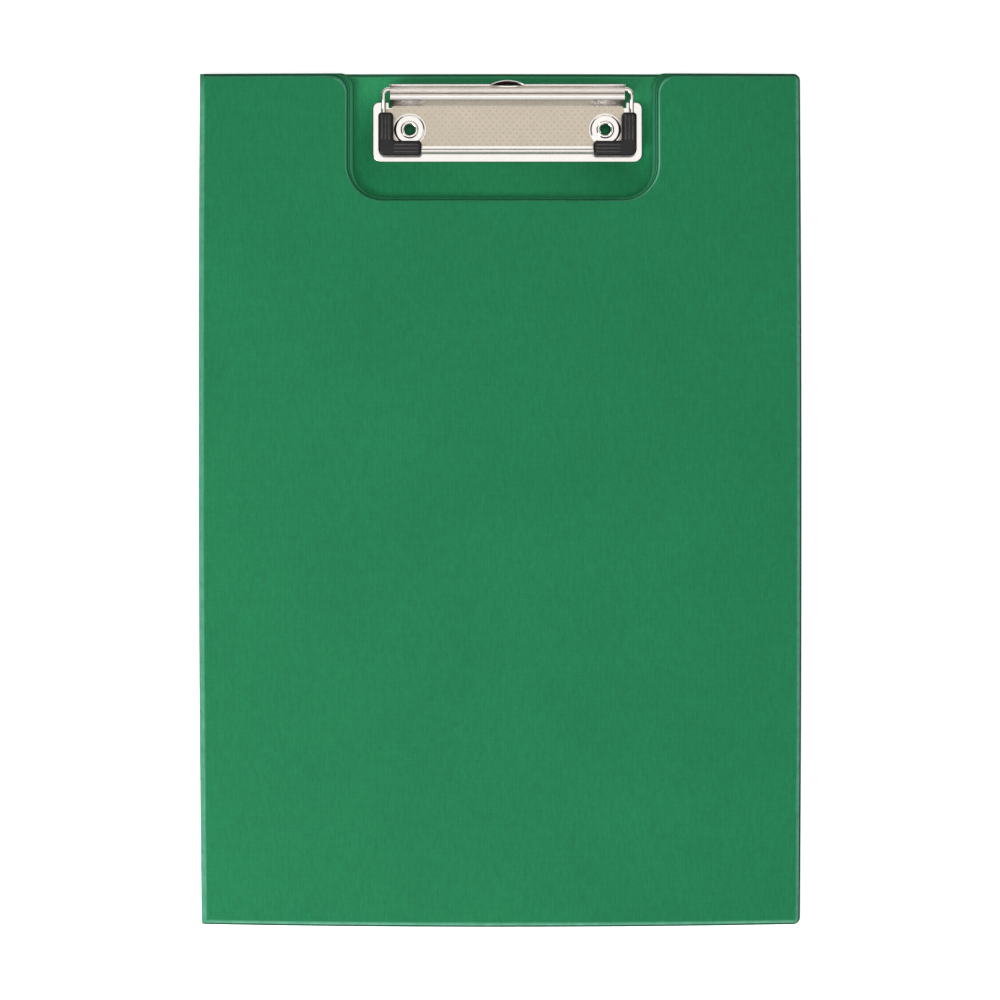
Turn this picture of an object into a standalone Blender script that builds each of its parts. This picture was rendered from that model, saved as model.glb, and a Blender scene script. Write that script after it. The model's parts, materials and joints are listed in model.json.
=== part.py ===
"""An A4 fold-over clipboard: a back board and a front cover in welded foil over greyboard,
joined by a flat spine, with a low wire clip riveted to the back board's inner face.

It lies closed on its back: +X runs from the spine to the free edge, +Y up the page to the clip,
+Z out of the front cover. The origin is the centre of the closed outline, on the underside.
"""

import math

import bmesh
import bpy
from mathutils import Matrix, Vector

MM = 0.001
MERGE_DISTANCE = 0.001 * MM      # points nearer than this are one point
THROUGH = 3                      # a cutter's reach over the thickness that it cuts through

# Boards and foils
BOARD_WIDTH = 226 * MM           # closed, from the spine's back to the free edge
BOARD_HEIGHT = 320 * MM
CORE_THICKNESS = 2.0 * MM
FOIL_THICKNESS = 0.35 * MM
LAMINATE_GAP = 0.1 * MM          # between sheets that lie flat on each other
CLOSED_GAP = 0.5 * MM            # between the two inner faces when the cover is shut
EDGE_RIM = 0.9 * MM              # flat weld outside the card, on the free edges
SPINE_RIM = 0.3 * MM             # the same, beside the spine
CUT_RIM = 2.2 * MM               # the same, round the cover's cut-out
SHOULDER = 0.5 * MM              # run of the foil as it climbs over the card's edge
CORNER_RADIUS = 2.5 * MM
SPINE_CORNER_RADIUS = 0.6 * MM
LEAST_RADIUS = 0.1 * MM          # that a corner keeps when its outline is drawn in

# Cut-out in the cover, open at the top edge
CUT_WIDTH = 112 * MM
CUT_CENTRE_X = 1.0 * MM
CUT_DEPTH = 46.5 * MM
CUT_CORNER_RADIUS = 9 * MM
CUT_MOUTH_RADIUS = 4 * MM

# Spine
SPINE_BULGE = 0.15 * MM          # how far the spine bows out between its two creases
CREASE_CLEARANCE = 0.15 * MM     # between a panel's rim and the spine foils that turn beside it

# Pocket inside the cover
POCKET_FOIL = 0.2 * MM
POCKET_WIDTH = 120 * MM
POCKET_HEIGHT = 150 * MM
POCKET_INSET = 2.4 * MM

# Clip plate
CLIP_CENTRE_X = 2.8 * MM
CLIP_FROM_TOP = 10.8 * MM        # board's top edge to the plate's rear edge
PLATE_WIDTH = 101 * MM
PLATE_DEPTH = 22.4 * MM
PLATE_THICKNESS = 0.7 * MM
PLATE_CORNER_RADIUS = 2.4 * MM
EAR_CORNER_RADIUS = 0.4 * MM     # where the plate's rear edge meets a relief slot
TONGUE_WIDTH = 86.8 * MM         # the middle of the plate, which bends up into the hook
RELIEF_WIDTH = 1.0 * MM          # slot between the tongue and each ear of the plate
RELIEF_DEPTH = 2.0 * MM
BEND_FROM_REAR = 1.3 * MM        # plate's rear edge to the line where the tongue turns up
BEND_RADIUS = 0.9 * MM
TONGUE_LAP = 1.4 * MM            # how far the tongue's solid runs on into the plate
PIVOT_FROM_REAR = 1.5 * MM       # how far the lever's pivot lies behind the plate's rear edge
PIVOT_HEIGHT = 4.7 * MM          # above the back board's inner face
HOOK_BEAD_RADIUS = 0.6 * MM

# Lever
LEVER_WIDTH = 87.8 * MM
LEVER_THICKNESS = 0.6 * MM
LEVER_CLEARANCE = 0.15 * MM      # round the hook's bead
CURL_FRONT = 178                 # degrees, where the curl's free edge stops
CURL_REAR = -14                  # degrees, where the curl meets the flange
FLANGE_LEAN = 14                 # degrees, back from upright
FLANGE_HEIGHT = 9.3 * MM
FLANGE_FOOT_DROP = 0.8 * MM      # the flange's lower edge, down the slope from the wire's axis
FLANGE_CORNER_RADIUS = 0.8 * MM
WIRE_BEHIND_PIVOT = 2.9 * MM
WIRE_CLEARANCE = 0.15 * MM       # between the wire and what holds it
SLEEVE_WALL = 0.5 * MM
EYE_WIDTH = 12.7 * MM
EYE_BULGE = 2.2 * MM             # how far the strip over the eye is pressed back
EYE_WINDOW_HEIGHT = 2.2 * MM     # slot cut down from the flange's top edge
EYE_STRIP_HEIGHT = 2.0 * MM
EYE_STRIP_THICKNESS = 0.5 * MM

# Wire bail
WIRE_RADIUS = 0.85 * MM
WIRE_END_GAP = 24 * MM           # between the wire's two turned-in ends, inside the lever
LEVER_END_GAP = 0.3 * MM
WIRE_SHOULDER_RADIUS = 2.25 * MM
WIRE_CORNER_RADIUS = 3.0 * MM
BAR_FROM_FRONT = 3.9 * MM        # plate's front edge to the bail's front bar

# Corner grips
GRIP_LENGTH = 16.2 * MM
GRIP_WIDTH = 5.6 * MM
GRIP_HEIGHT = 4.4 * MM
GRIP_OUTSIDE = 1.9 * MM          # wire's centre to the grip's outer side
GRIP_CORNER_RADIUS = 2.5 * MM
GRIP_END_RADIUS = 1.3 * MM
GRIP_INNER_RADIUS = 1.0 * MM
GRIP_EDGE = 0.5 * MM
GRIP_EDGE_ANGLE = 60             # degrees, the sharpest turn that isn't rounded
GRIP_SEAT_GAP = 0.2 * MM         # under the grips, over the eyelets' raised seats

# Eyelets and their washers
EYELET_SPACING = 73.4 * MM
EYELET_FROM_REAR = 10.3 * MM
EYELET_BORE = 2.0 * MM
EYELET_WALL = 0.4 * MM
EYELET_RIM_RADIUS = 3.2 * MM
EYELET_RIM_HEIGHT = 0.6 * MM
EYELET_FLARE_RADIUS = 3.3 * MM
EYELET_FLARE_HEIGHT = 0.4 * MM
EYELET_CLEARANCE = 0.2 * MM      # round the barrel
EYELET_ROUNDING = 0.15 * MM      # off the rolled rim's shoulders
EYELET_UNDERCUT = 0.1 * MM       # under the rim, where it meets its seat
SEAT_GAP = 0.1 * MM
BOSS_RADIUS = 5.9 * MM
BOSS_HEIGHT = 0.3 * MM
BOSS_EDGE = 0.6 * MM
WASHER_RADIUS = 5.0 * MM
WASHER_THICKNESS = 0.5 * MM

# Colours, linear
FOIL_GREEN = (0.019, 0.205, 0.082)
LINING_GREEN = (0.018, 0.185, 0.075)
CARD_GREY = (0.30, 0.27, 0.22)

# Facets
ARC_STEPS = 6                    # on each rounded corner of an outline
HOLE_STEPS = 32
CURL_STEPS = 20
BEAD_STEPS = 24
WIRE_ROUNDNESS = 2               # facets between the quarters of the wire's section
GRIP_EDGE_STEPS = 2
SMOOTH_ANGLE = 35                # degrees, up to which two facets are shaded as one surface

# Levels that follow from the sizes above
PANEL_THICKNESS = CORE_THICKNESS + 2 * (FOIL_THICKNESS + LAMINATE_GAP)
BACK_TOP = PANEL_THICKNESS
COVER_BOTTOM = PANEL_THICKNESS + CLOSED_GAP
WELD_THICKNESS = 2 * FOIL_THICKNESS + LAMINATE_GAP
CREASE_X = -BOARD_WIDTH / 2 + SPINE_BULGE + WELD_THICKNESS / 2
PANEL_LEFT = CREASE_X + WELD_THICKNESS / 2 + CREASE_CLEARANCE
PLATE_BOTTOM = BACK_TOP + LAMINATE_GAP
PLATE_TOP = PLATE_BOTTOM + PLATE_THICKNESS
PLATE_REAR = BOARD_HEIGHT / 2 - CLIP_FROM_TOP
PLATE_FRONT = PLATE_REAR - PLATE_DEPTH
PIVOT = Vector((CLIP_CENTRE_X, PLATE_REAR + PIVOT_FROM_REAR, BACK_TOP + PIVOT_HEIGHT))
WIRE_AXIS = PIVOT + Vector((0, WIRE_BEHIND_PIVOT, 0))
BAR_Y = PLATE_FRONT + BAR_FROM_FRONT
LEG_X = LEVER_WIDTH / 2 + LEVER_END_GAP + WIRE_SHOULDER_RADIUS
BOSS_TOP = PLATE_TOP + BOSS_HEIGHT
GRIP_BOTTOM = BOSS_TOP + GRIP_SEAT_GAP
BAR_Z = GRIP_BOTTOM + GRIP_HEIGHT / 2
EYELET_BARREL = EYELET_BORE + EYELET_WALL
EYELET_Y = PLATE_REAR - EYELET_FROM_REAR
EYELET_HOLE = EYELET_BARREL + EYELET_CLEARANCE
WASHER_POCKET = 2 * EYELET_FLARE_HEIGHT + WASHER_THICKNESS
BACK_CORE_BOTTOM = FOIL_THICKNESS + LAMINATE_GAP


# Scene

def clear_scene():
    for obj in list(bpy.data.objects):
        bpy.data.objects.remove(obj, do_unlink=True)


def make_collection(name):
    collection = bpy.data.collections.new(name)
    bpy.context.scene.collection.children.link(collection)
    return collection


def make_material(name, colour, roughness, metallic=0.0, alpha=1.0):
    material = bpy.data.materials.new(name)
    material.use_nodes = True
    shader = material.node_tree.nodes["Principled BSDF"]
    shader.inputs["Base Color"].default_value = (*colour, 1.0)
    shader.inputs["Roughness"].default_value = roughness
    shader.inputs["Metallic"].default_value = metallic
    shader.inputs["Alpha"].default_value = alpha
    return material


def add_object(name, data, collection, material=None, parent=None):
    """An object whose data is in world coordinates, hung on its joint's empty if it has one."""
    obj = bpy.data.objects.new(name, data)
    collection.objects.link(obj)
    if material:
        obj.data.materials.append(material)
    if parent:
        obj.parent = parent
        obj.matrix_parent_inverse = parent.matrix_world.inverted()
    return obj


def add_pivot(name, place, parent=None):
    pivot = bpy.data.objects.new(name, None)
    parts.objects.link(pivot)
    pivot.location = place
    if parent:
        pivot.parent = parent
        pivot.location = Vector(place) - parent.matrix_world.translation
    bpy.context.view_layer.update()
    return pivot


def as_cutter(obj):
    obj.hide_render = True
    obj.display_type = "WIRE"
    return obj


def boolean(obj, operation, other):
    modifier = obj.modifiers.new(f"{operation.lower()} {other.name}", "BOOLEAN")
    modifier.operation = operation
    modifier.solver = "EXACT"
    modifier.object = other


def shade(obj):
    """Smooth shading that keeps every edge sharper than SMOOTH_ANGLE."""
    obj.data.shade_smooth()
    obj.data.set_sharp_from_angle(angle=math.radians(SMOOTH_ANGLE))


# Outlines

def rounded(corners):
    """Points round a polygon of (x, y, radius) corners, each turned into an arc of ARC_STEPS."""
    points = []
    for index, (x, y, radius) in enumerate(corners):
        corner = Vector((x, y))
        before = (Vector(corners[index - 1][:2]) - corner).normalized()
        after = (Vector(corners[(index + 1) % len(corners)][:2]) - corner).normalized()
        if radius <= 0:
            points.append(corner)
            continue
        half = before.angle(after) / 2
        centre = corner + (before + after).normalized() * (radius / math.sin(half))
        start = corner + before * (radius / math.tan(half)) - centre
        end = corner + after * (radius / math.tan(half)) - centre
        turn = start.angle_signed(end)
        for step in range(ARC_STEPS + 1):
            arm = start.copy()
            arm.rotate(Matrix.Rotation(-turn * step / ARC_STEPS, 2))
            points.append(centre + arm)
    return points


def circle(x, y, radius, steps=HOLE_STEPS):
    turns = [2 * math.pi * step / steps for step in range(steps)]
    return [Vector((x + radius * math.cos(a), y + radius * math.sin(a))) for a in turns]


def panel_outline(edge_inset, spine_inset, cut_inset, has_cut):
    """A panel's outline, drawn in by its own amount at the free edges, the spine and the cut-out."""
    left = PANEL_LEFT + spine_inset
    right = BOARD_WIDTH / 2 - edge_inset
    bottom = -BOARD_HEIGHT / 2 + edge_inset
    top = BOARD_HEIGHT / 2 - edge_inset
    free_radius = CORNER_RADIUS - edge_inset
    spine_radius = max(SPINE_CORNER_RADIUS - spine_inset, LEAST_RADIUS)
    corners = [
        (left, bottom, spine_radius),
        (right, bottom, free_radius),
        (right, top, free_radius),
    ]
    if has_cut:
        cut_left = CUT_CENTRE_X - CUT_WIDTH / 2 - cut_inset
        cut_right = CUT_CENTRE_X + CUT_WIDTH / 2 + cut_inset
        cut_bottom = BOARD_HEIGHT / 2 - CUT_DEPTH - cut_inset
        mouth_radius = CUT_MOUTH_RADIUS - edge_inset
        corners += [
            (cut_right, top, mouth_radius),
            (cut_right, cut_bottom, CUT_CORNER_RADIUS + cut_inset),
            (cut_left, cut_bottom, CUT_CORNER_RADIUS + cut_inset),
            (cut_left, top, mouth_radius),
        ]
    corners.append((left, top, spine_radius))
    return rounded(corners)


# Shape makers

def flat_curve(name, outlines, thickness):
    """A filled 2D curve: the first outline is the edge, the rest are holes."""
    curve = bpy.data.curves.new(name, "CURVE")
    curve.dimensions = "2D"
    curve.fill_mode = "BOTH"
    curve.extrude = thickness / 2
    for outline in outlines:
        spline = curve.splines.new("POLY")
        spline.points.add(len(outline) - 1)
        for point, (x, y) in zip(spline.points, outline):
            point.co = (x, y, 0, 1)
        spline.use_cyclic_u = True
    return curve


def mesh_of_curve(name, curve, matrix):
    """The curve's solid as a mesh with its caps welded, moved by the matrix."""
    holder = bpy.data.objects.new(name + " curve", curve)
    parts.objects.link(holder)
    holder.matrix_world = matrix
    bpy.context.view_layer.update()
    graph = bpy.context.evaluated_depsgraph_get()
    mesh = bpy.data.meshes.new_from_object(holder.evaluated_get(graph))
    mesh.name = name
    mesh.transform(holder.matrix_world)
    bpy.data.objects.remove(holder, do_unlink=True)
    work = bmesh.new()
    work.from_mesh(mesh)
    bmesh.ops.remove_doubles(work, verts=work.verts, dist=MERGE_DISTANCE)
    bmesh.ops.recalc_face_normals(work, faces=work.faces)
    work.to_mesh(mesh)
    work.free()
    return mesh


def sheet_mesh(name, outlines, low, thickness):
    """A flat sheet with its underside at the given height."""
    curve = flat_curve(name, outlines, thickness)
    return mesh_of_curve(name, curve, Matrix.Translation((0, 0, low + thickness / 2)))


def section_mesh(name, outlines, centre_x, width):
    """A section drawn in (y, z) and pulled out along X."""
    curve = flat_curve(name, outlines, width)
    upright = Matrix.Rotation(math.pi / 2, 4, "Z") @ Matrix.Rotation(math.pi / 2, 4, "X")
    return mesh_of_curve(name, curve, Matrix.Translation((centre_x, 0, 0)) @ upright)


def strip_outline(path, thickness):
    """The outline of a bent strip whose middle line is the path."""
    left, right = [], []
    for index, point in enumerate(path):
        before = path[max(index - 1, 0)]
        after = path[min(index + 1, len(path) - 1)]
        along = (after - before).normalized()
        normal = Vector((-along.y, along.x))
        left.append(point + normal * thickness / 2)
        right.append(point - normal * thickness / 2)
    return left + right[::-1]


def arc_path(centre, radius, first, last, steps):
    """Points on an arc, from one angle to another in degrees."""
    angles = [math.radians(first + (last - first) * step / steps) for step in range(steps + 1)]
    return [centre + radius * Vector((math.cos(a), math.sin(a))) for a in angles]


def tube_mesh(name, path, radius):
    """A round wire along the path, as a closed mesh."""
    curve = bpy.data.curves.new(name, "CURVE")
    curve.dimensions = "3D"
    curve.bevel_depth = radius
    curve.bevel_resolution = WIRE_ROUNDNESS
    curve.use_fill_caps = True
    spline = curve.splines.new("POLY")
    spline.points.add(len(path) - 1)
    for point, place in zip(spline.points, path):
        point.co = (*place, 1)
    return mesh_of_curve(name, curve, Matrix.Identity(4))


def cylinder_object(name, x, y, low, high, radius, collection):
    """An upright cylinder between two heights."""
    work = bmesh.new()
    bmesh.ops.create_cone(
        work, cap_ends=True, segments=HOLE_STEPS, radius1=radius, radius2=radius,
        depth=high - low, matrix=Matrix.Translation((x, y, (low + high) / 2)),
    )
    mesh = bpy.data.meshes.new(name)
    work.to_mesh(mesh)
    work.free()
    return add_object(name, mesh, collection)


def foil_pan(name, low, high, face_up, has_cut, material, parent=None):
    """One face foil of a panel: flat over the card, down over its edges, flat again in the weld.

    low and high are the panel's two faces; the foil covers the upper or the lower one.
    """
    middle = (low + high) / 2
    side = 1 if face_up else -1
    weld = middle + side * WELD_THICKNESS / 2
    face = high if face_up else low
    rings = [
        (panel_outline(0, 0, 0, has_cut), weld),
        (panel_outline(EDGE_RIM, SPINE_RIM, CUT_RIM, has_cut), weld),
        (
            panel_outline(EDGE_RIM + SHOULDER, SPINE_RIM + SHOULDER, CUT_RIM + SHOULDER, has_cut),
            face,
        ),
    ]
    work = bmesh.new()
    loops = []
    for outline, height in rings:
        verts = [work.verts.new((x, y, height)) for x, y in outline]
        loops.append([
            work.edges.new((vert, verts[(index + 1) % len(verts)]))
            for index, vert in enumerate(verts)
        ])
    for outer, inner in zip(loops, loops[1:]):
        bmesh.ops.bridge_loops(work, edges=outer + inner)
    flat = bmesh.ops.contextual_create(work, geom=loops[-1])["faces"][0]
    bmesh.ops.recalc_face_normals(work, faces=work.faces)
    flat.normal_update()
    if flat.normal.z * side < 0:
        bmesh.ops.reverse_faces(work, faces=work.faces)
    mesh = bpy.data.meshes.new(name)
    work.to_mesh(mesh)
    work.free()
    obj = add_object(name, mesh, parts, material, parent)
    solidify = obj.modifiers.new("foil", "SOLIDIFY")
    solidify.thickness = FOIL_THICKNESS
    solidify.offset = -1
    return obj


def card_outline(has_cut):
    """The greyboard's edge, just inside the foils that climb over it."""
    inside = SHOULDER + FOIL_THICKNESS + LAMINATE_GAP
    return panel_outline(EDGE_RIM + inside, SPINE_RIM + inside, CUT_RIM + inside, has_cut)


def eyelet_places():
    """(name, x) of the two eyelets."""
    half = EYELET_SPACING / 2
    return [("left", CLIP_CENTRE_X - half), ("right", CLIP_CENTRE_X + half)]


# Back board

def build_back():
    foil = make_material("green_foil_back", FOIL_GREEN, 0.5)
    lining = make_material("green_lining_back", LINING_GREEN, 0.5)
    card = make_material("greyboard_back", CARD_GREY, 0.9)

    foil_pan("back_outer_skin", 0, BACK_TOP, False, False, foil)

    core = add_object(
        "back_board_core",
        sheet_mesh("back_board_core", [card_outline(False)], BACK_CORE_BOTTOM, CORE_THICKNESS),
        parts, card,
    )
    inner = foil_pan("back_inner_skin", 0, BACK_TOP, True, False, lining)

    for side, x in eyelet_places():
        barrel = as_cutter(cylinder_object(
            f"eyelet_hole_{side}", x, EYELET_Y, 0, THROUGH * BACK_TOP, EYELET_HOLE, cutters,
        ))
        pocket = as_cutter(cylinder_object(
            f"washer_pocket_{side}", x, EYELET_Y, 0, BACK_CORE_BOTTOM + WASHER_POCKET,
            WASHER_RADIUS + EYELET_CLEARANCE, cutters,
        ))
        boolean(core, "DIFFERENCE", barrel)
        boolean(core, "DIFFERENCE", pocket)
        boolean(inner, "DIFFERENCE", barrel)


# Front cover and spine

def build_cover(hinge):
    foil = make_material("green_foil_cover", FOIL_GREEN, 0.5)
    lining = make_material("green_lining_cover", LINING_GREEN, 0.5)
    card = make_material("greyboard_cover", CARD_GREY, 0.9)
    clear = make_material("pocket_foil", (0.75, 0.80, 0.78), 0.3, alpha=0.35)
    cover_top = COVER_BOTTOM + PANEL_THICKNESS

    foil_pan("cover_outer_skin", COVER_BOTTOM, cover_top, True, True, foil, hinge)
    foil_pan("cover_inner_skin", COVER_BOTTOM, cover_top, False, True, lining, hinge)
    core_bottom = COVER_BOTTOM + FOIL_THICKNESS + LAMINATE_GAP
    add_object(
        "cover_board_core",
        sheet_mesh("cover_board_core", [card_outline(True)], core_bottom, CORE_THICKNESS),
        parts, card, hinge,
    )

    right = BOARD_WIDTH / 2 - POCKET_INSET
    bottom = -BOARD_HEIGHT / 2 + POCKET_INSET
    triangle = [
        (right - POCKET_WIDTH, bottom, 0),
        (right, bottom, 0),
        (right, bottom + POCKET_HEIGHT, 0),
    ]
    low = COVER_BOTTOM - LAMINATE_GAP - POCKET_FOIL
    add_object(
        "cover_pocket", sheet_mesh("cover_pocket", [rounded(triangle)], low, POCKET_FOIL),
        parts, clear, hinge,
    )


def spine_path(offset):
    """The spine foil's middle line in (x, z), from the lower crease to the upper one."""
    low, high = PANEL_THICKNESS / 2, COVER_BOTTOM + PANEL_THICKNESS / 2
    half = (high - low) / 2
    radius = (half ** 2 + SPINE_BULGE ** 2) / (2 * SPINE_BULGE)
    centre = Vector((CREASE_X - SPINE_BULGE + radius, (low + high) / 2))
    spread = math.degrees(math.asin(half / radius))
    return arc_path(centre, radius + offset, 180 + spread, 180 - spread, ARC_STEPS)


def build_spine(hinge):
    step = (FOIL_THICKNESS + LAMINATE_GAP) / 2
    layers = [
        ("spine_outer_skin", step, FOIL_GREEN),
        ("spine_inner_skin", -step, LINING_GREEN),
    ]
    length = BOARD_HEIGHT - 2 * EDGE_RIM
    for name, offset, colour in layers:
        outline = strip_outline(spine_path(offset), FOIL_THICKNESS)
        curve = flat_curve(name, [outline], length)
        upright = Matrix.Rotation(math.pi / 2, 4, "X")
        mesh = mesh_of_curve(name, curve, upright)
        shade(add_object(name, mesh, parts, make_material(f"green_{name}", colour, 0.5), hinge))


# Clip

def build_plate():
    steel = make_material("nickel_plate", (0.78, 0.76, 0.73), 0.2, 1.0)
    half = PLATE_WIDTH / 2
    tongue = TONGUE_WIDTH / 2
    ear = tongue + RELIEF_WIDTH
    relief = PLATE_REAR - RELIEF_DEPTH
    flat = [
        (-half, PLATE_FRONT, PLATE_CORNER_RADIUS),
        (half, PLATE_FRONT, PLATE_CORNER_RADIUS),
        (half, PLATE_REAR, PLATE_CORNER_RADIUS),
        (ear, PLATE_REAR, EAR_CORNER_RADIUS),
        (ear, relief, 0),
        (-ear, relief, 0),
        (-ear, PLATE_REAR, EAR_CORNER_RADIUS),
        (-half, PLATE_REAR, PLATE_CORNER_RADIUS),
    ]
    outline = rounded([(x + CLIP_CENTRE_X, y, radius) for x, y, radius in flat])
    plate = add_object(
        "clip_base_plate",
        sheet_mesh("clip_base_plate", [outline], PLATE_BOTTOM, PLATE_THICKNESS), parts, steel,
    )

    # The tongue: out of the plate, up a sloping wall, and round the bead that the lever turns on
    middle = PLATE_BOTTOM + PLATE_THICKNESS / 2
    bend = Vector((PLATE_REAR - BEND_FROM_REAR, middle))
    top = Vector((PIVOT.y, PIVOT.z))
    slope = (top - bend).angle(Vector((1, 0)))
    setback = BEND_RADIUS * math.tan(slope / 2)
    centre = bend + Vector((-setback, BEND_RADIUS))
    path = [Vector((relief - TONGUE_LAP, middle))]
    path += arc_path(centre, BEND_RADIUS, -90, -90 + math.degrees(slope), ARC_STEPS)
    path.append(top)
    tongue_solid = as_cutter(add_object(
        "tongue",
        section_mesh("tongue", [strip_outline(path, PLATE_THICKNESS)], CLIP_CENTRE_X, TONGUE_WIDTH),
        cutters,
    ))
    bead = as_cutter(add_object(
        "bead",
        section_mesh(
            "bead", [circle(PIVOT.y, PIVOT.z, HOOK_BEAD_RADIUS, BEAD_STEPS)], CLIP_CENTRE_X, TONGUE_WIDTH,
        ),
        cutters,
    ))
    boolean(plate, "UNION", tongue_solid)
    boolean(plate, "UNION", bead)

    # A raised seat round each eyelet
    for side, x in eyelet_places():
        work = bmesh.new()
        bmesh.ops.create_cone(
            work, cap_ends=True, segments=HOLE_STEPS,
            radius1=BOSS_RADIUS, radius2=BOSS_RADIUS - BOSS_EDGE,
            depth=BOSS_HEIGHT + PLATE_THICKNESS / 2,
            matrix=Matrix.Translation(
                (x, EYELET_Y, BOSS_TOP - (BOSS_HEIGHT + PLATE_THICKNESS / 2) / 2)
            ),
        )
        mesh = bpy.data.meshes.new(f"boss_{side}")
        work.to_mesh(mesh)
        work.free()
        boss = as_cutter(add_object(f"boss_{side}", mesh, cutters))
        boolean(plate, "UNION", boss)
        boolean(plate, "DIFFERENCE", as_cutter(cylinder_object(
            f"plate_hole_{side}", x, EYELET_Y, 0, THROUGH * BOSS_TOP, EYELET_HOLE, cutters,
        )))
    shade(plate)


def build_lever(hinge):
    steel = make_material("nickel_lever", (0.80, 0.78, 0.76), 0.15, 1.0)
    pivot = Vector((PIVOT.y, PIVOT.z))
    wire = Vector((WIRE_AXIS.y, WIRE_AXIS.z))
    lean = math.radians(FLANGE_LEAN)
    sleeve_bore = WIRE_RADIUS + WIRE_CLEARANCE

    # The flange stands tangent to the wire's bore, with its foot just below the pivot's level
    up = Vector((math.sin(lean), math.cos(lean)))
    front = Vector((-math.cos(lean), math.sin(lean)))
    foot = wire + front * (sleeve_bore + LEVER_THICKNESS / 2) - up * FLANGE_FOOT_DROP
    corner = FLANGE_CORNER_RADIUS
    half = LEVER_WIDTH / 2
    flange_outline = rounded([
        (-half, 0, 0), (half, 0, 0), (half, FLANGE_HEIGHT, corner), (-half, FLANGE_HEIGHT, corner),
    ])
    window = rounded([
        (-EYE_WIDTH / 2, FLANGE_HEIGHT - EYE_WINDOW_HEIGHT, 0),
        (EYE_WIDTH / 2, FLANGE_HEIGHT - EYE_WINDOW_HEIGHT, 0),
        (EYE_WIDTH / 2, FLANGE_HEIGHT + LEVER_THICKNESS, 0),
        (-EYE_WIDTH / 2, FLANGE_HEIGHT + LEVER_THICKNESS, 0),
    ])
    stand = Matrix.Translation((CLIP_CENTRE_X, foot.x, foot.y))
    stand = stand @ Matrix.Rotation(math.pi / 2 - lean, 4, "X")
    lever = add_object(
        "clip_lever",
        mesh_of_curve("clip_lever", flat_curve("flange", [flange_outline], LEVER_THICKNESS), stand),
        parts, steel, hinge,
    )
    opening = as_cutter(add_object(
        "eye_window",
        mesh_of_curve(
            "eye_window", flat_curve("window", [window], THROUGH * LEVER_THICKNESS), stand,
        ),
        cutters,
    ))
    boolean(lever, "DIFFERENCE", opening)

    # The strip over the hanging eye, bowed back out of the flange
    lap = LEVER_THICKNESS
    half_eye = EYE_WIDTH / 2
    bow_radius = (half_eye ** 2 + EYE_BULGE ** 2) / (2 * EYE_BULGE)
    spread = math.degrees(math.asin(half_eye / bow_radius))
    bow = arc_path(
        Vector((0, bow_radius - EYE_BULGE)), bow_radius, -90 - spread, -90 + spread, CURL_STEPS,
    )
    bow = [bow[0] - Vector((lap, 0))] + bow + [bow[-1] + Vector((lap, 0))]
    strip = flat_curve("strip", [strip_outline(bow, EYE_STRIP_THICKNESS)], EYE_STRIP_HEIGHT)
    lift = Matrix.Translation((0, FLANGE_HEIGHT - EYE_WINDOW_HEIGHT / 2, 0))
    strip_solid = as_cutter(add_object(
        "eye_strip",
        mesh_of_curve("eye_strip", strip, stand @ lift @ Matrix.Rotation(math.pi / 2, 4, "X")),
        cutters,
    ))
    boolean(lever, "UNION", strip_solid)

    # The curl that turns on the plate's bead, and the sleeve that holds the wire
    curl_radius = HOOK_BEAD_RADIUS + LEVER_CLEARANCE + LEVER_THICKNESS / 2
    curl_path = arc_path(pivot, curl_radius, CURL_FRONT, CURL_REAR, CURL_STEPS)
    curl = as_cutter(add_object(
        "curl",
        section_mesh("curl", [strip_outline(curl_path, LEVER_THICKNESS)], CLIP_CENTRE_X, LEVER_WIDTH),
        cutters,
    ))
    sleeve = as_cutter(add_object(
        "sleeve",
        section_mesh(
            "sleeve",
            [
                circle(*wire, sleeve_bore + SLEEVE_WALL, BEAD_STEPS),
                circle(*wire, sleeve_bore, BEAD_STEPS),
            ],
            CLIP_CENTRE_X, LEVER_WIDTH,
        ),
        cutters,
    ))
    boolean(lever, "UNION", curl)
    boolean(lever, "UNION", sleeve)
    shade(lever)


def bail_path():
    """The wire's middle line, from one turned-in end round to the other."""
    rear_y = WIRE_AXIS.y
    leg_top = rear_y - WIRE_SHOULDER_RADIUS
    leg_foot = BAR_Y - GRIP_OUTSIDE + GRIP_LENGTH
    end_x = WIRE_END_GAP / 2
    half = [Vector((end_x, rear_y, WIRE_AXIS.z))]
    centre = Vector((LEG_X - WIRE_SHOULDER_RADIUS, leg_top))
    for point in arc_path(centre, WIRE_SHOULDER_RADIUS, 90, 0, ARC_STEPS):
        half.append(Vector((*point, WIRE_AXIS.z)))
    for step in range(1, ARC_STEPS + 1):
        share = step / ARC_STEPS
        eased = share * share * (3 - 2 * share)
        y = leg_top + (leg_foot - leg_top) * share
        half.append(Vector((LEG_X, y, WIRE_AXIS.z + (BAR_Z - WIRE_AXIS.z) * eased)))
    centre = Vector((LEG_X - WIRE_CORNER_RADIUS, BAR_Y + WIRE_CORNER_RADIUS))
    for point in arc_path(centre, WIRE_CORNER_RADIUS, 0, -90, ARC_STEPS):
        half.append(Vector((*point, BAR_Z)))
    mirrored = [Vector((-p.x, p.y, p.z)) for p in reversed(half)]
    return [p + Vector((CLIP_CENTRE_X, 0, 0)) for p in half + mirrored]


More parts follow.
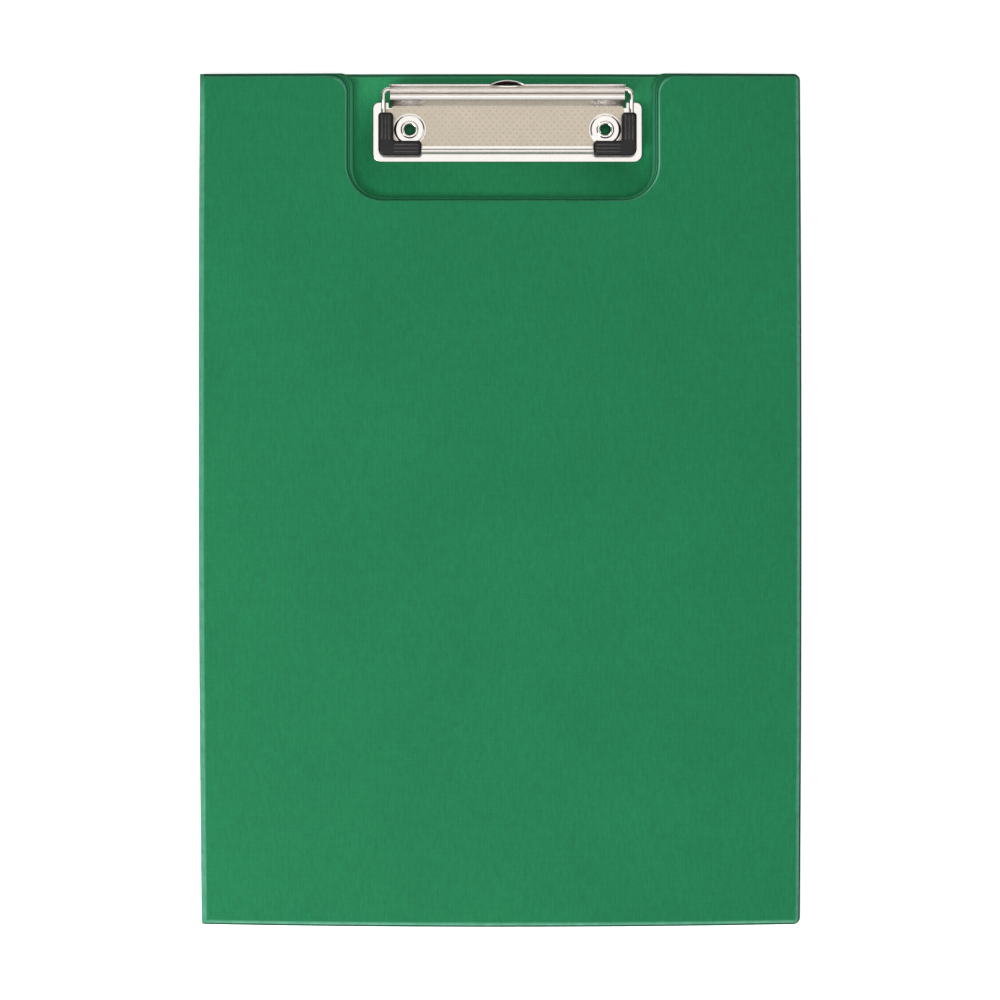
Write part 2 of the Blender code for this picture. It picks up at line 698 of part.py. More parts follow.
def build_bail(hinge):
    wire_steel = make_material("nickel_wire", (0.82, 0.81, 0.79), 0.12, 1.0)
    black = make_material("black_plastic", (0.012, 0.012, 0.013), 0.45)
    wire = add_object(
        "wire_bail", tube_mesh("wire_bail", bail_path(), WIRE_RADIUS), parts, wire_steel, hinge,
    )
    shade(wire)
    bore = as_cutter(add_object(
        "grip_bore", tube_mesh("grip_bore", bail_path(), WIRE_RADIUS + WIRE_CLEARANCE), cutters,
    ))
    outer = LEG_X + GRIP_OUTSIDE
    front = BAR_Y - GRIP_OUTSIDE
    # An L drawn with its corner at the front and outside, as (x, y, radius)
    corner = [
        (outer, front, GRIP_CORNER_RADIUS),
        (outer, front + GRIP_LENGTH, GRIP_END_RADIUS),
        (outer - GRIP_WIDTH, front + GRIP_LENGTH, GRIP_END_RADIUS),
        (outer - GRIP_WIDTH, front + GRIP_WIDTH, GRIP_INNER_RADIUS),
        (outer - GRIP_LENGTH, front + GRIP_WIDTH, GRIP_END_RADIUS),
        (outer - GRIP_LENGTH, front, GRIP_END_RADIUS),
    ]
    for name, side in (("corner_grip_left", -1), ("corner_grip_right", 1)):
        outline = rounded([(CLIP_CENTRE_X + side * x, y, radius) for x, y, radius in corner])
        grip = add_object(
            name, sheet_mesh(name, [outline], GRIP_BOTTOM, GRIP_HEIGHT), parts, black, hinge,
        )
        edge = grip.modifiers.new("edge", "BEVEL")
        edge.width = GRIP_EDGE
        edge.segments = GRIP_EDGE_STEPS
        edge.limit_method = "ANGLE"
        edge.angle_limit = math.radians(GRIP_EDGE_ANGLE)
        boolean(grip, "DIFFERENCE", bore)
        shade(grip)


def build_eyelets():
    nickel = make_material("nickel_eyelet", (0.80, 0.79, 0.77), 0.15, 1.0)
    plain = make_material("washer_steel", (0.55, 0.55, 0.56), 0.4, 1.0)
    seat = BOSS_TOP + SEAT_GAP
    top = seat + EYELET_RIM_HEIGHT
    low = BACK_CORE_BOTTOM + SEAT_GAP / 2
    lip = (EYELET_BORE + EYELET_RIM_RADIUS) / 2
    # The section runs down the outside and back up the bore
    profile = [
        (EYELET_BORE + EYELET_ROUNDING, top - EYELET_ROUNDING),
        (lip, top),
        (EYELET_RIM_RADIUS - EYELET_ROUNDING, top - EYELET_ROUNDING),
        (EYELET_RIM_RADIUS, (top + seat) / 2),
        (EYELET_RIM_RADIUS - EYELET_UNDERCUT, seat),
        (EYELET_BARREL, seat),
        (EYELET_BARREL, low + EYELET_FLARE_HEIGHT),
        (EYELET_FLARE_RADIUS, low + EYELET_FLARE_HEIGHT),
        (EYELET_FLARE_RADIUS, low + EYELET_FLARE_HEIGHT / 2),
        (EYELET_FLARE_RADIUS - EYELET_ROUNDING, low),
        (EYELET_BARREL, low),
        (EYELET_BORE, low + EYELET_FLARE_HEIGHT),
        (EYELET_BORE, top - EYELET_RIM_HEIGHT / 2),
    ]
    for side, x in eyelet_places():
        work = bmesh.new()
        verts = [work.verts.new((r, 0, z)) for r, z in profile]
        for index, vert in enumerate(verts):
            work.edges.new((vert, verts[(index + 1) % len(verts)]))
        mesh = bpy.data.meshes.new(f"eyelet_{side}")
        work.to_mesh(mesh)
        work.free()
        eyelet = add_object(f"eyelet_{side}", mesh, parts, nickel)
        eyelet.location = (x, EYELET_Y, 0)
        screw = eyelet.modifiers.new("turned", "SCREW")
        screw.steps = HOLE_STEPS
        screw.render_steps = HOLE_STEPS
        screw.use_merge_vertices = True
        screw.merge_threshold = MERGE_DISTANCE

        washer_low = BACK_CORE_BOTTOM + WASHER_POCKET - SEAT_GAP - WASHER_THICKNESS
        rings = [circle(x, EYELET_Y, WASHER_RADIUS), circle(x, EYELET_Y, EYELET_HOLE)]
        name = f"eyelet_washer_{side}"
        add_object(name, sheet_mesh(name, rings, washer_low, WASHER_THICKNESS), parts, plain)


clear_scene()
parts = make_collection("fold_over_clipboard")
cutters = make_collection("cutters")
spine_hinge = add_pivot("spine_hinge", (CREASE_X, 0, PANEL_THICKNESS / 2))
cover_hinge = add_pivot(
    "cover_hinge", (CREASE_X, 0, COVER_BOTTOM + PANEL_THICKNESS / 2), spine_hinge,
)
lever_hinge = add_pivot("lever_hinge", PIVOT)
bail_hinge = add_pivot("bail_hinge", WIRE_AXIS, lever_hinge)
build_back()
build_cover(cover_hinge)
build_spine(spine_hinge)
build_plate()
build_lever(lever_hinge)
build_bail(bail_hinge)
build_eyelets()
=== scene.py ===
import json
import math

import bmesh
import bpy
from mathutils import Matrix, Vector, noise


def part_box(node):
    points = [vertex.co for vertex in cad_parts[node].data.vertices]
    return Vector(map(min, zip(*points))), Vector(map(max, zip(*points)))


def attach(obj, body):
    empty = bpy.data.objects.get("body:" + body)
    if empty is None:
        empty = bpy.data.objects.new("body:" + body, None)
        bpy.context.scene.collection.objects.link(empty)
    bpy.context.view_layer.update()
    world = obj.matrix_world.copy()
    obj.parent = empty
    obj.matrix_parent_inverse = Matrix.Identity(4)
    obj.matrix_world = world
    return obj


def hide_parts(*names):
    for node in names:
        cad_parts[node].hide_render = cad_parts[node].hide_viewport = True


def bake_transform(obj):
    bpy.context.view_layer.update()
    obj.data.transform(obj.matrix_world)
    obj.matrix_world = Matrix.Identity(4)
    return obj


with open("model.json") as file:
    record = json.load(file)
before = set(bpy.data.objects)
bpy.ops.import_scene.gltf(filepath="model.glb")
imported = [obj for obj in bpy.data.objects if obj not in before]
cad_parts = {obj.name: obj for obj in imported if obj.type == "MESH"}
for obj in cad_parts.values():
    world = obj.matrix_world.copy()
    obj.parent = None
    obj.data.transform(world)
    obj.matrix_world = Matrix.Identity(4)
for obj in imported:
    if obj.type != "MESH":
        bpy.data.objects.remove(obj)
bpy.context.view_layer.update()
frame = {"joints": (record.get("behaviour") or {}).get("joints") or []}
mm = 0.001


def boxOf(node):
    low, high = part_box(node)
    return low / mm, high / mm


def jointPlace(name):
    joint = next(j for j in frame["joints"] if j["name"] == name)
    return Vector(joint["pos_m"]) / mm


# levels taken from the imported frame, in mm
panelLeft = boxOf("back_outer_skin")[0].x
coverHigh = boxOf("cover_outer_skin")[1]
halfWide, halfTall = coverHigh.x, coverHigh.y
plateLow, plateHigh = boxOf("clip_base_plate")
wireLow, wireHigh = boxOf("wire_bail")
spineLow = boxOf("spine_outer_skin")[0]
lowerCrease = jointPlace("spine_hinge")
upperCrease = jointPlace("cover_hinge")
leverPivot = jointPlace("lever_hinge")
wireAxis = jointPlace("bail_hinge")
clipX = leverPivot.x


def newPiece(name, work, material, body, replaces=(), sharpAngle=None):
    # turns a bmesh in mm into an object that rides on a body and takes the materials handed in
    mesh = bpy.data.meshes.new(name)
    bmesh.ops.transform(work, matrix=Matrix.Scale(mm, 4), verts=work.verts)
    work.to_mesh(mesh)
    work.free()
    piece = bpy.data.objects.new(name, mesh)
    bpy.context.scene.collection.objects.link(piece)
    for one in (material if isinstance(material, (list, tuple)) else [material]):
        mesh.materials.append(one)
    mesh.shade_smooth()
    if sharpAngle:
        mesh.set_sharp_from_angle(angle=math.radians(sharpAngle))
    if body:
        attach(piece, body)
    if replaces:
        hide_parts(*replaces)
    return piece


def mix(a, b, t):
    return a + (b - a) * t


def ease(t):
    t = min(max(t, 0), 1)
    return t * t * (3 - 2 * t)


def arc(centre, radius, first, last, steps):
    # points on a circle, from one angle in degrees to another
    turns = [math.radians(mix(first, last, k / steps)) for k in range(steps + 1)]
    return [Vector(centre) + radius * Vector((math.cos(a), math.sin(a))) for a in turns]


def roundedPath(corners, kinds, arcSteps=10, spacing=11, counts=None):
    # each corner is (x, y, radius); kinds[i] is the edge that follows corner i
    # arcSteps go to each corner; an edge gets a point every spacing mm, or the counts handed in
    points, used = [], []
    total = len(corners)
    for i, (x, y, radius) in enumerate(corners):
        corner = Vector((x, y))
        before = (Vector(corners[i - 1][:2]) - corner).normalized()
        after = (Vector(corners[(i + 1) % total][:2]) - corner).normalized()
        half = before.angle(after) / 2
        reach = radius / math.tan(half)
        centre = corner + (before + after).normalized() * (radius / math.sin(half))
        start = corner + before * reach - centre
        turn = start.angle_signed(corner + after * reach - centre)
        for k in range(arcSteps + 1):
            arm = start.copy()
            arm.rotate(Matrix.Rotation(-turn * k / arcSteps, 2))
            points.append((centre + arm, kinds[i - 1], kinds[i], k / arcSteps))
        nextCorner = corners[(i + 1) % total]
        away = Vector(nextCorner[:2]) - corner
        nextHalf = (-away).angle(Vector(corners[(i + 2) % total][:2]) - Vector(nextCorner[:2])) / 2
        begin = corner + after * reach
        end = Vector(nextCorner[:2]) - after * (nextCorner[2] / math.tan(nextHalf))
        count = counts[i] if counts else max(int((end - begin).length / spacing), 1)
        used.append(count)
        for k in range(1, count):
            points.append((begin.lerp(end, k / count), kinds[i], kinds[i], 0))
    return points, used


def loftRings(work, rings):
    # joins each closed ring of vertices to the next one
    for a, b in zip(rings, rings[1:]):
        for i in range(len(a)):
            j = (i + 1) % len(a)
            work.faces.new((a[i], a[j], b[j], b[i]))


def fillLoops(work, loops, materialIndex=0, up=True):
    # a flat face inside the first loop, with the other loops as holes
    edges = []
    for loop in loops:
        for i, vert in enumerate(loop):
            other = loop[(i + 1) % len(loop)]
            edges.append(work.edges.get((vert, other)) or work.edges.new((vert, other)))
    filled = bmesh.ops.triangle_fill(work, use_beauty=True, use_dissolve=False, edges=edges)
    for face in filled["geom"]:
        if isinstance(face, bmesh.types.BMFace):
            face.normal_update()
            face.material_index = materialIndex
            if (face.normal.z > 0) != up:
                face.normal_flip()


def ringOf(work, points, z):
    return [work.verts.new((p[0], p[1], z)) for p in points]


def circlePoints(x, y, radius, steps=64):
    return [
        (x + radius * math.cos(2 * math.pi * k / steps), y + radius * math.sin(2 * math.pi * k / steps))
        for k in range(steps)
    ]


def stripOutline(path, thickness):
    # the two sides of a sheet of that thickness, seen on edge along a path
    left, right = [], []
    for i, point in enumerate(path):
        along = (path[min(i + 1, len(path) - 1)] - path[max(i - 1, 0)]).normalized()
        side = Vector((-along.y, along.x)) * thickness / 2
        left.append(point + side)
        right.append(point - side)
    return left, right


def sectionPiece(work, outline, xLow, xHigh):
    # a closed (y, z) outline pulled out along X, with capped ends
    rows = [[work.verts.new((x, p[0], p[1])) for p in outline] for x in (xLow, xHigh)]
    loftRings(work, rows)
    work.faces.new(rows[0][::-1])
    work.faces.new(rows[-1])


def addBevel(piece, width, segments=2, angle=60):
    bevel = piece.modifiers.new("softened edges", "BEVEL")
    bevel.width = width * mm
    bevel.segments = segments
    bevel.limit_method = "ANGLE"
    bevel.angle_limit = math.radians(angle)


def addThickness(piece, thickness, offset=0):
    # offset 0 puts the sheet in the middle, and -1 puts it behind its front face
    solid = piece.modifiers.new("sheet thickness", "SOLIDIFY")
    solid.thickness = thickness * mm
    solid.offset = offset
    return solid


def setSocket(tree, socket, value):
    # links another node's output, or sets a plain value
    if isinstance(value, bpy.types.NodeSocket):
        tree.links.new(value, socket)
    else:
        socket.default_value = value


def addNode(tree, kind, values=None, **settings):
    node = tree.nodes.new(kind)
    for key, value in settings.items():
        setattr(node, key, value)
    for key, value in (values or {}).items():
        setSocket(tree, node.inputs[key], value)
    return node


def maths(tree, operation, a, b=0.0, c=0.0, clamp=False):
    node = addNode(tree, "ShaderNodeMath", {0: a, 1: b, 2: c}, operation=operation, use_clamp=clamp)
    return node.outputs[0]


def newGroup(name, inputs, outputs):
    group = bpy.data.node_groups.new(name, "ShaderNodeTree")
    for label, kind, default in inputs:
        socket = group.interface.new_socket(label, in_out="INPUT", socket_type=kind)
        socket.default_value = default
    for label, kind in outputs:
        group.interface.new_socket(label, in_out="OUTPUT", socket_type=kind)
    return group, addNode(group, "NodeGroupInput"), addNode(group, "NodeGroupOutput")


def useGroup(tree, group, **values):
    # the node tree goes in first, because it makes the sockets
    node = addNode(tree, "ShaderNodeGroup", node_tree=group)
    for key, value in values.items():
        setSocket(tree, node.inputs[key], value)
    return node


def noiseOf(tree, vector, scale, detail=3.0, roughness=0.55):
    values = {"Vector": vector, "Scale": scale, "Detail": detail, "Roughness": roughness}
    return addNode(tree, "ShaderNodeTexNoise", values).outputs["Fac"]


def spread(tree, value, low, high, toLow, toHigh):
    values = {0: value, 1: low, 2: high, 3: toLow, 4: toHigh}
    return addNode(tree, "ShaderNodeMapRange", values).outputs[0]


def fromNoise(tree, value, toLow, toHigh):
    return spread(tree, value, 0.3, 0.7, toLow, toHigh)  # noise seldom goes beyond these


def toned(tree, colour, level):
    return addNode(tree, "ShaderNodeVectorMath", {0: colour, 1: level}, operation="MULTIPLY").outputs[0]


def objectPlace(tree):
    return addNode(tree, "ShaderNodeTexCoord").outputs["Object"]


def twoTone(tree, value, dark, light):
    ramp = addNode(tree, "ShaderNodeValToRGB", {0: value})
    ramp.color_ramp.elements[0].color = dark
    ramp.color_ramp.elements[1].color = light
    return ramp.outputs[0]


def stretched(tree, vector, scale):
    return addNode(tree, "ShaderNodeMapping", {"Vector": vector, "Scale": scale}).outputs[0]


floatSocket, colourSocket = "NodeSocketFloat", "NodeSocketColor"

linenWeave = dict(
    wanderScale=420.0, slubScale=(900.0, 260.0, 260.0), thinnest=0.45, pressedFlat=0.8, shade=(0.84, 1.12),
)


def makeLinenGroup():
    # plain weave pressed into the foil: warp over weft by turns, with slubs; the shade output paints the
    # weave's crests lighter and its hollows darker
    look = linenWeave
    group, into, out = newGroup(
        "linenEmboss",
        [("pitch", floatSocket, 0.6), ("waviness", floatSocket, 0.2), ("pressed", floatSocket, 0.0)],
        [("height", floatSocket), ("shade", floatSocket)],
    )
    place = objectPlace(group)
    x, y, z = addNode(group, "ShaderNodeSeparateXYZ", {0: place}).outputs
    wander = noiseOf(group, place, look["wanderScale"], 2.0)
    drift = maths(group, "MULTIPLY", maths(group, "SUBTRACT", wander, 0.5), into.outputs["waviness"])
    turn = maths(group, "DIVIDE", math.pi / mm, into.outputs["pitch"])
    waves = []
    for across in (x, y):
        along = maths(group, "MULTIPLY_ADD", maths(group, "ADD", across, z), turn, drift)
        waves.append(maths(group, "SINE", along))
    over = spread(group, maths(group, "MULTIPLY", waves[0], waves[1]), -0.35, 0.35, 0.0, 1.0)
    warp = maths(group, "ABSOLUTE", waves[0])
    weft = maths(group, "ABSOLUTE", waves[1])
    crossed = maths(group, "MULTIPLY_ADD", over, maths(group, "SUBTRACT", warp, weft), weft)
    slubs = noiseOf(group, stretched(group, place, look["slubScale"]), 1.0, 2.0)
    rough = maths(group, "MULTIPLY", crossed, fromNoise(group, slubs, look["thinnest"], 1.0))
    flattened = maths(group, "MULTIPLY", into.outputs["pressed"], look["pressedFlat"])
    height = maths(group, "MULTIPLY", rough, maths(group, "SUBTRACT", 1.0, flattened))
    group.links.new(height, out.inputs["height"])
    group.links.new(spread(group, height, 0.1, 0.8, *look["shade"]), out.inputs["shade"])
    return group


foilToneAndHighlight = dict(
    cloudScale=22.0, cloudShade=(0.96, 1.04), streakScale=(1300.0, 190.0, 300.0), streakShade=(0.95, 1.05),
    dappleScale=700.0, dappleShade=(0.94, 1.06), highlightScale=260.0, highlightShare=(0.35, 0.75),
    matScale=90.0, matSpread=0.05, pressedGloss=-0.14,
)


def makeFoilFinishGroup():
    # the foil's green, with faint clouds and streaks, painted shade in the welds and rims, and a painted
    # highlight, broken up by noise, on the edges' slopes
    look = foilToneAndHighlight
    group, into, out = newGroup(
        "foilFinish",
        [
            ("colour", colourSocket, (0.02, 0.2, 0.08, 1)), ("pale", colourSocket, (0.2, 0.4, 0.3, 1)),
            ("shade", floatSocket, 1.0), ("edgeTone", floatSocket, 0.0), ("darkest", floatSocket, 0.3),
            ("pressed", floatSocket, 0.0), ("roughness", floatSocket, 0.5),
        ],
        [("colour", colourSocket), ("roughness", floatSocket)],
    )
    place = objectPlace(group)
    clouds = fromNoise(group, noiseOf(group, place, look["cloudScale"], 3.0), *look["cloudShade"])
    streaks = noiseOf(group, stretched(group, place, look["streakScale"]), 1.0, 3.0, 0.6)
    dapple = noiseOf(group, place, look["dappleScale"], 3.0, 0.6)
    cloth = maths(group, "MULTIPLY", fromNoise(group, streaks, *look["streakShade"]),
                  fromNoise(group, dapple, *look["dappleShade"]))
    level = maths(group, "MULTIPLY", maths(group, "MULTIPLY", clouds, cloth), into.outputs["shade"])
    # below zero the edge value paints shade, down to darkest; above zero it blends in the pale colour as a
    # painted highlight, broken up by noise
    dark = spread(group, into.outputs["edgeTone"], -1.0, 0.0, into.outputs["darkest"], 1.0)
    green = toned(group, into.outputs["colour"], maths(group, "MULTIPLY", level, dark))
    highlightPatches = fromNoise(group, noiseOf(group, place, look["highlightScale"], 5.0, 0.7), *look["highlightShare"])
    paintedHighlight = maths(group, "MULTIPLY", highlightPatches, into.outputs["edgeTone"], clamp=True)
    pale = addNode(group, "ShaderNodeMix", {0: paintedHighlight, 6: green, 7: into.outputs["pale"]}, data_type="RGBA")
    group.links.new(pale.outputs[2], out.inputs["colour"])
    uneven = noiseOf(group, place, look["matScale"], 4.0)
    uneven = fromNoise(group, uneven, -look["matSpread"], look["matSpread"])
    matt = maths(group, "ADD", into.outputs["roughness"], uneven)
    glossed = maths(group, "MULTIPLY_ADD", into.outputs["pressed"], look["pressedGloss"], matt, clamp=True)
    group.links.new(glossed, out.inputs["roughness"])
    return group


platingWear = dict(
    lineScale=(120.0, 2600.0, 2600.0), cloudScale=140.0, fleckScale=2400.0, stained=0.95,
    smear=(-0.02, 0.05), hairline=0.05, fleck=0.08,
)


def makePlatingGroup():
    # drawing lines, a faint stain and small flecks in the plating
    look = platingWear
    group, into, out = newGroup(
        "platingMarks",
        [("colour", colourSocket, (0.8, 0.78, 0.75, 1)), ("roughness", floatSocket, 0.15),
         ("marks", floatSocket, 0.5)],
        [("colour", colourSocket), ("roughness", floatSocket), ("height", floatSocket)],
    )
    place, marks = objectPlace(group), into.outputs["marks"]
    lines = noiseOf(group, stretched(group, place, look["lineScale"]), 1.0, 3.0)
    cloud = noiseOf(group, place, look["cloudScale"], 5.0, 0.65)
    flecks = spread(group, noiseOf(group, place, look["fleckScale"], 2.0), 0.62, 0.75, 0.0, 1.0)
    stain = spread(group, cloud, 0.35, 0.7, 1.0, look["stained"])
    group.links.new(toned(group, into.outputs["colour"], stain), out.inputs["colour"])
    smear = maths(group, "MULTIPLY", spread(group, cloud, 0.3, 0.75, *look["smear"]), marks)
    hair = maths(group, "MULTIPLY", spread(group, lines, 0.5, 0.72, 0.0, look["hairline"]), marks)
    speck = maths(group, "MULTIPLY", flecks, maths(group, "MULTIPLY", marks, look["fleck"]))
    smeared = maths(group, "ADD", into.outputs["roughness"], smear)
    total = maths(group, "ADD", smeared, maths(group, "ADD", hair, speck))
    group.links.new(total, out.inputs["roughness"])
    group.links.new(maths(group, "ADD", lines, maths(group, "MULTIPLY", flecks, -0.5)), out.inputs["height"])
    return group


grainWear = dict(softScale=700.0, level=(0.8, 1.25), matScale=240.0, matSpread=0.07)


def makeGrainGroup():
    # the fine cells of a moulded or pressed surface
    look = grainWear
    group, into, out = newGroup(
        "mouldGrain",
        [("scale", floatSocket, 2200.0), ("roughness", floatSocket, 0.45)],
        [("height", floatSocket), ("roughness", floatSocket), ("level", floatSocket)],
    )
    place = objectPlace(group)
    cells = addNode(group, "ShaderNodeTexVoronoi", {"Vector": place, "Scale": into.outputs["scale"]})
    soft = noiseOf(group, place, look["softScale"], 4.0)
    group.links.new(maths(group, "ADD", cells.outputs["Distance"], soft), out.inputs["height"])
    uneven = noiseOf(group, place, look["matScale"], 4.0)
    uneven = fromNoise(group, uneven, -look["matSpread"], look["matSpread"])
    group.links.new(maths(group, "ADD", into.outputs["roughness"], uneven), out.inputs["roughness"])
    group.links.new(fromNoise(group, soft, *look["level"]), out.inputs["level"])
    return group


linenEmboss = makeLinenGroup()
foilFinish = makeFoilFinishGroup()
platingMarks = makePlatingGroup()
mouldGrain = makeGrainGroup()
print("shader groups made")


def newMaterial(name):
    material = bpy.data.materials.new(name)
    material.use_nodes = True
    tree = material.node_tree
    return material, tree, tree.nodes["Principled BSDF"]


def bumpInto(tree, shader, height, strength, distance):
    values = {"Height": height, "Strength": strength, "Distance": distance}
    bump = addNode(tree, "ShaderNodeBump", values)
    tree.links.new(bump.outputs[0], shader.inputs["Normal"])


# liningGreen is a paler copy of the cover's green foil, painting light into the shade of the cut-out
foilLook = dict(
    green=(0.0095, 0.184, 0.0700, 1), liningGreen=(0.0220, 0.268, 0.1035, 1),
    roughness=0.5, liningRoughness=0.53, specular=0.14, pitch=0.8, waviness=2.4,
    # paleEdge is the painted highlight's colour, and darkEdge how dark the painted shade gets
    embossDepth=0.08, embossStrength=0.7, paleEdge=(0.15, 0.42, 0.30, 1), darkEdge=0.38,
)


def makeFoil(name, colour, roughness):
    material, tree, shader = newMaterial(name)
    pressed = addNode(tree, "ShaderNodeAttribute", attribute_name="pressed").outputs["Fac"]
    edgeTone = addNode(tree, "ShaderNodeAttribute", attribute_name="edgeTone").outputs["Fac"]
    linen = useGroup(
        tree, linenEmboss, pitch=foilLook["pitch"], waviness=foilLook["waviness"], pressed=pressed,
    )
    finish = useGroup(
        tree, foilFinish, colour=colour, pale=foilLook["paleEdge"], shade=linen.outputs["shade"],
        edgeTone=edgeTone, darkest=foilLook["darkEdge"], pressed=pressed, roughness=roughness,
    )
    tree.links.new(finish.outputs["colour"], shader.inputs["Base Color"])
    tree.links.new(finish.outputs["roughness"], shader.inputs["Roughness"])
    shader.inputs["Specular IOR Level"].default_value = foilLook["specular"]
    bumpInto(tree, shader, linen.outputs["height"], foilLook["embossStrength"], foilLook["embossDepth"] * mm)
    return material


coverFoil = makeFoil("coverFoilGreen", foilLook["green"], foilLook["roughness"])
liningFoil = makeFoil("liningFoilGreen", foilLook["liningGreen"], foilLook["liningRoughness"])

# each metal is its colour, how rough it is and how far its plating is marked
metalLook = dict(
    polished=((0.74, 0.71, 0.685, 1), 0.09, 0.2),
    plate=((0.71, 0.68, 0.65, 1), 0.14, 0.4),
    # a paler copy of the nickel, painting light onto the lever's flange and the tongue's sloping wall
    paintedLit=((0.95, 0.92, 0.885, 1), 0.22, 0.3),
    textured=((0.460, 0.400, 0.322, 1), 0.26, 0.8),
    wire=((0.72, 0.69, 0.65, 1), 0.10, 0.4),
    # a dark metal that paints the shade inside the hanging eye
    eyeInside=((0.06, 0.042, 0.036, 1), 0.35, 0.6),
    washer=((0.55, 0.55, 0.56, 1), 0.38, 1.0),
)
pressing = dict(  # the plate's dots and lines, in mm
    dotAcross=2.55, dotUp=2.78, lineStep=1.25, lineShare=0.12, dotLevel=0.92, dotRoughness=0.12, depth=0.03,
)


def startMetal(name, look):
    colour, roughness, marks = metalLook[look]
    material, tree, shader = newMaterial(name)
    shader.inputs["Metallic"].default_value = 1.0
    plating = useGroup(tree, platingMarks, colour=colour, roughness=roughness, marks=marks)
    return material, tree, shader, plating


def makeMetal(name, look):
    material, tree, shader, plating = startMetal(name, look)
    tree.links.new(plating.outputs["colour"], shader.inputs["Base Color"])
    tree.links.new(plating.outputs["roughness"], shader.inputs["Roughness"])
    bumpInto(tree, shader, plating.outputs["height"], 0.15, 0.002 * mm)
    return material


def makeTexturedNickel():
    # the pressed pattern on the plate: a diamond lattice of dots over fine upright lines
    material, tree, shader, plating = startMetal("texturedNickel", "textured")
    x, y, z = addNode(tree, "ShaderNodeSeparateXYZ", {0: objectPlace(tree)}).outputs

    def wave(across, step):
        return maths(tree, "COSINE", maths(tree, "MULTIPLY", across, 2 * math.pi / (step * mm)))

    crossed = maths(tree, "ADD", wave(x, pressing["dotAcross"]), wave(y, pressing["dotUp"]))
    dots = spread(tree, maths(tree, "ABSOLUTE", crossed), 1.35, 1.9, 0.0, 1.0)
    relief = maths(tree, "MULTIPLY_ADD", wave(x, pressing["lineStep"]), pressing["lineShare"], dots)
    level = spread(tree, dots, 0.0, 1.0, 1.0, pressing["dotLevel"])
    tree.links.new(toned(tree, plating.outputs["colour"], level), shader.inputs["Base Color"])
    rough = maths(tree, "MULTIPLY_ADD", dots, pressing["dotRoughness"], plating.outputs["roughness"])
    tree.links.new(rough, shader.inputs["Roughness"])
    bumpInto(tree, shader, relief, 0.3, pressing["depth"] * mm)
    return material


nickel = makeMetal("polishedNickel", "polished")
plateNickel = makeMetal("plateNickel", "plate")
nickelPaintedLit = makeMetal("nickelPaintedLit", "paintedLit")
wireNickel = makeMetal("wireNickel", "wire")
darkNickel = makeMetal("eyeShadowNickel", "eyeInside")
washerZinc = makeMetal("washerZinc", "washer")
texturedNickel = makeTexturedNickel()

# the ribs' plastic is paler than the grip's, a painted highlight along the ribs, and glossier
plasticLook = dict(
    black=(0.007, 0.0065, 0.007), roughness=0.38, rib=(0.052, 0.049, 0.048), ribRoughness=0.26,
    grain=2600.0, specular=0.3, grainDepth=0.02,
)


def makeGripPlastic(name, colour, roughness):
    material, tree, shader = newMaterial(name)
    grain = useGroup(tree, mouldGrain, scale=plasticLook["grain"], roughness=roughness)
    tree.links.new(toned(tree, colour, grain.outputs["level"]), shader.inputs["Base Color"])
    tree.links.new(grain.outputs["roughness"], shader.inputs["Roughness"])
    shader.inputs["Specular IOR Level"].default_value = plasticLook["specular"]
    bumpInto(tree, shader, grain.outputs["height"], 0.35, plasticLook["grainDepth"] * mm)
    return material


cardLook = dict(
    dark=(0.20, 0.18, 0.15, 1), light=(0.40, 0.37, 0.31, 1), fibreScale=(2400.0, 500.0, 2400.0),
    grain=1300.0, roughness=0.9, fibreDepth=0.05,
)


def makeGreyboard():
    look = cardLook
    material, tree, shader = newMaterial("greyboardCard")
    grain = useGroup(tree, mouldGrain, scale=look["grain"], roughness=look["roughness"])
    fibres = noiseOf(tree, stretched(tree, objectPlace(tree), look["fibreScale"]), 1.0, 5.0, 0.7)
    tree.links.new(twoTone(tree, fibres, look["dark"], look["light"]), shader.inputs["Base Color"])
    tree.links.new(grain.outputs["roughness"], shader.inputs["Roughness"])
    bumpInto(tree, shader, fibres, 0.5, look["fibreDepth"] * mm)
    return material


clearLook = dict(
    dark=(0.62, 0.68, 0.65, 1), light=(0.80, 0.85, 0.83, 1), hazeScale=60.0, haze=(0.20, 0.30),
    scratchScale=(300.0, 2500.0, 300.0), scratch=0.12, weldHaze=0.35, roughness=(0.16, 0.30), rippleDepth=0.2,
)


def makeClearFoil():
    look = clearLook
    material, tree, shader = newMaterial("pocketClearFoil")
    place = objectPlace(tree)
    weld = addNode(tree, "ShaderNodeAttribute", attribute_name="pressed").outputs["Fac"]
    haze = noiseOf(tree, place, look["hazeScale"], 5.0, 0.6)
    scratches = noiseOf(tree, stretched(tree, place, look["scratchScale"]), 1.0, 3.0)
    scratches = spread(tree, scratches, 0.6, 0.8, 0.0, look["scratch"])
    cover = maths(tree, "ADD", fromNoise(tree, haze, *look["haze"]), scratches)
    cover = maths(tree, "MULTIPLY_ADD", weld, look["weldHaze"], cover, clamp=True)
    tree.links.new(cover, shader.inputs["Alpha"])
    tree.links.new(fromNoise(tree, haze, *look["roughness"]), shader.inputs["Roughness"])
    tree.links.new(twoTone(tree, haze, look["dark"], look["light"]), shader.inputs["Base Color"])
    bumpInto(tree, shader, haze, 0.3, look["rippleDepth"] * mm)
    return material


gripPlastic = makeGripPlastic("gripPlastic", plasticLook["black"], plasticLook["roughness"])
ribPlastic = makeGripPlastic("gripRibPlastic", plasticLook["rib"], plasticLook["ribRoughness"])
greyboard = makeGreyboard()
clearFoil = makeClearFoil()
print("materials made")


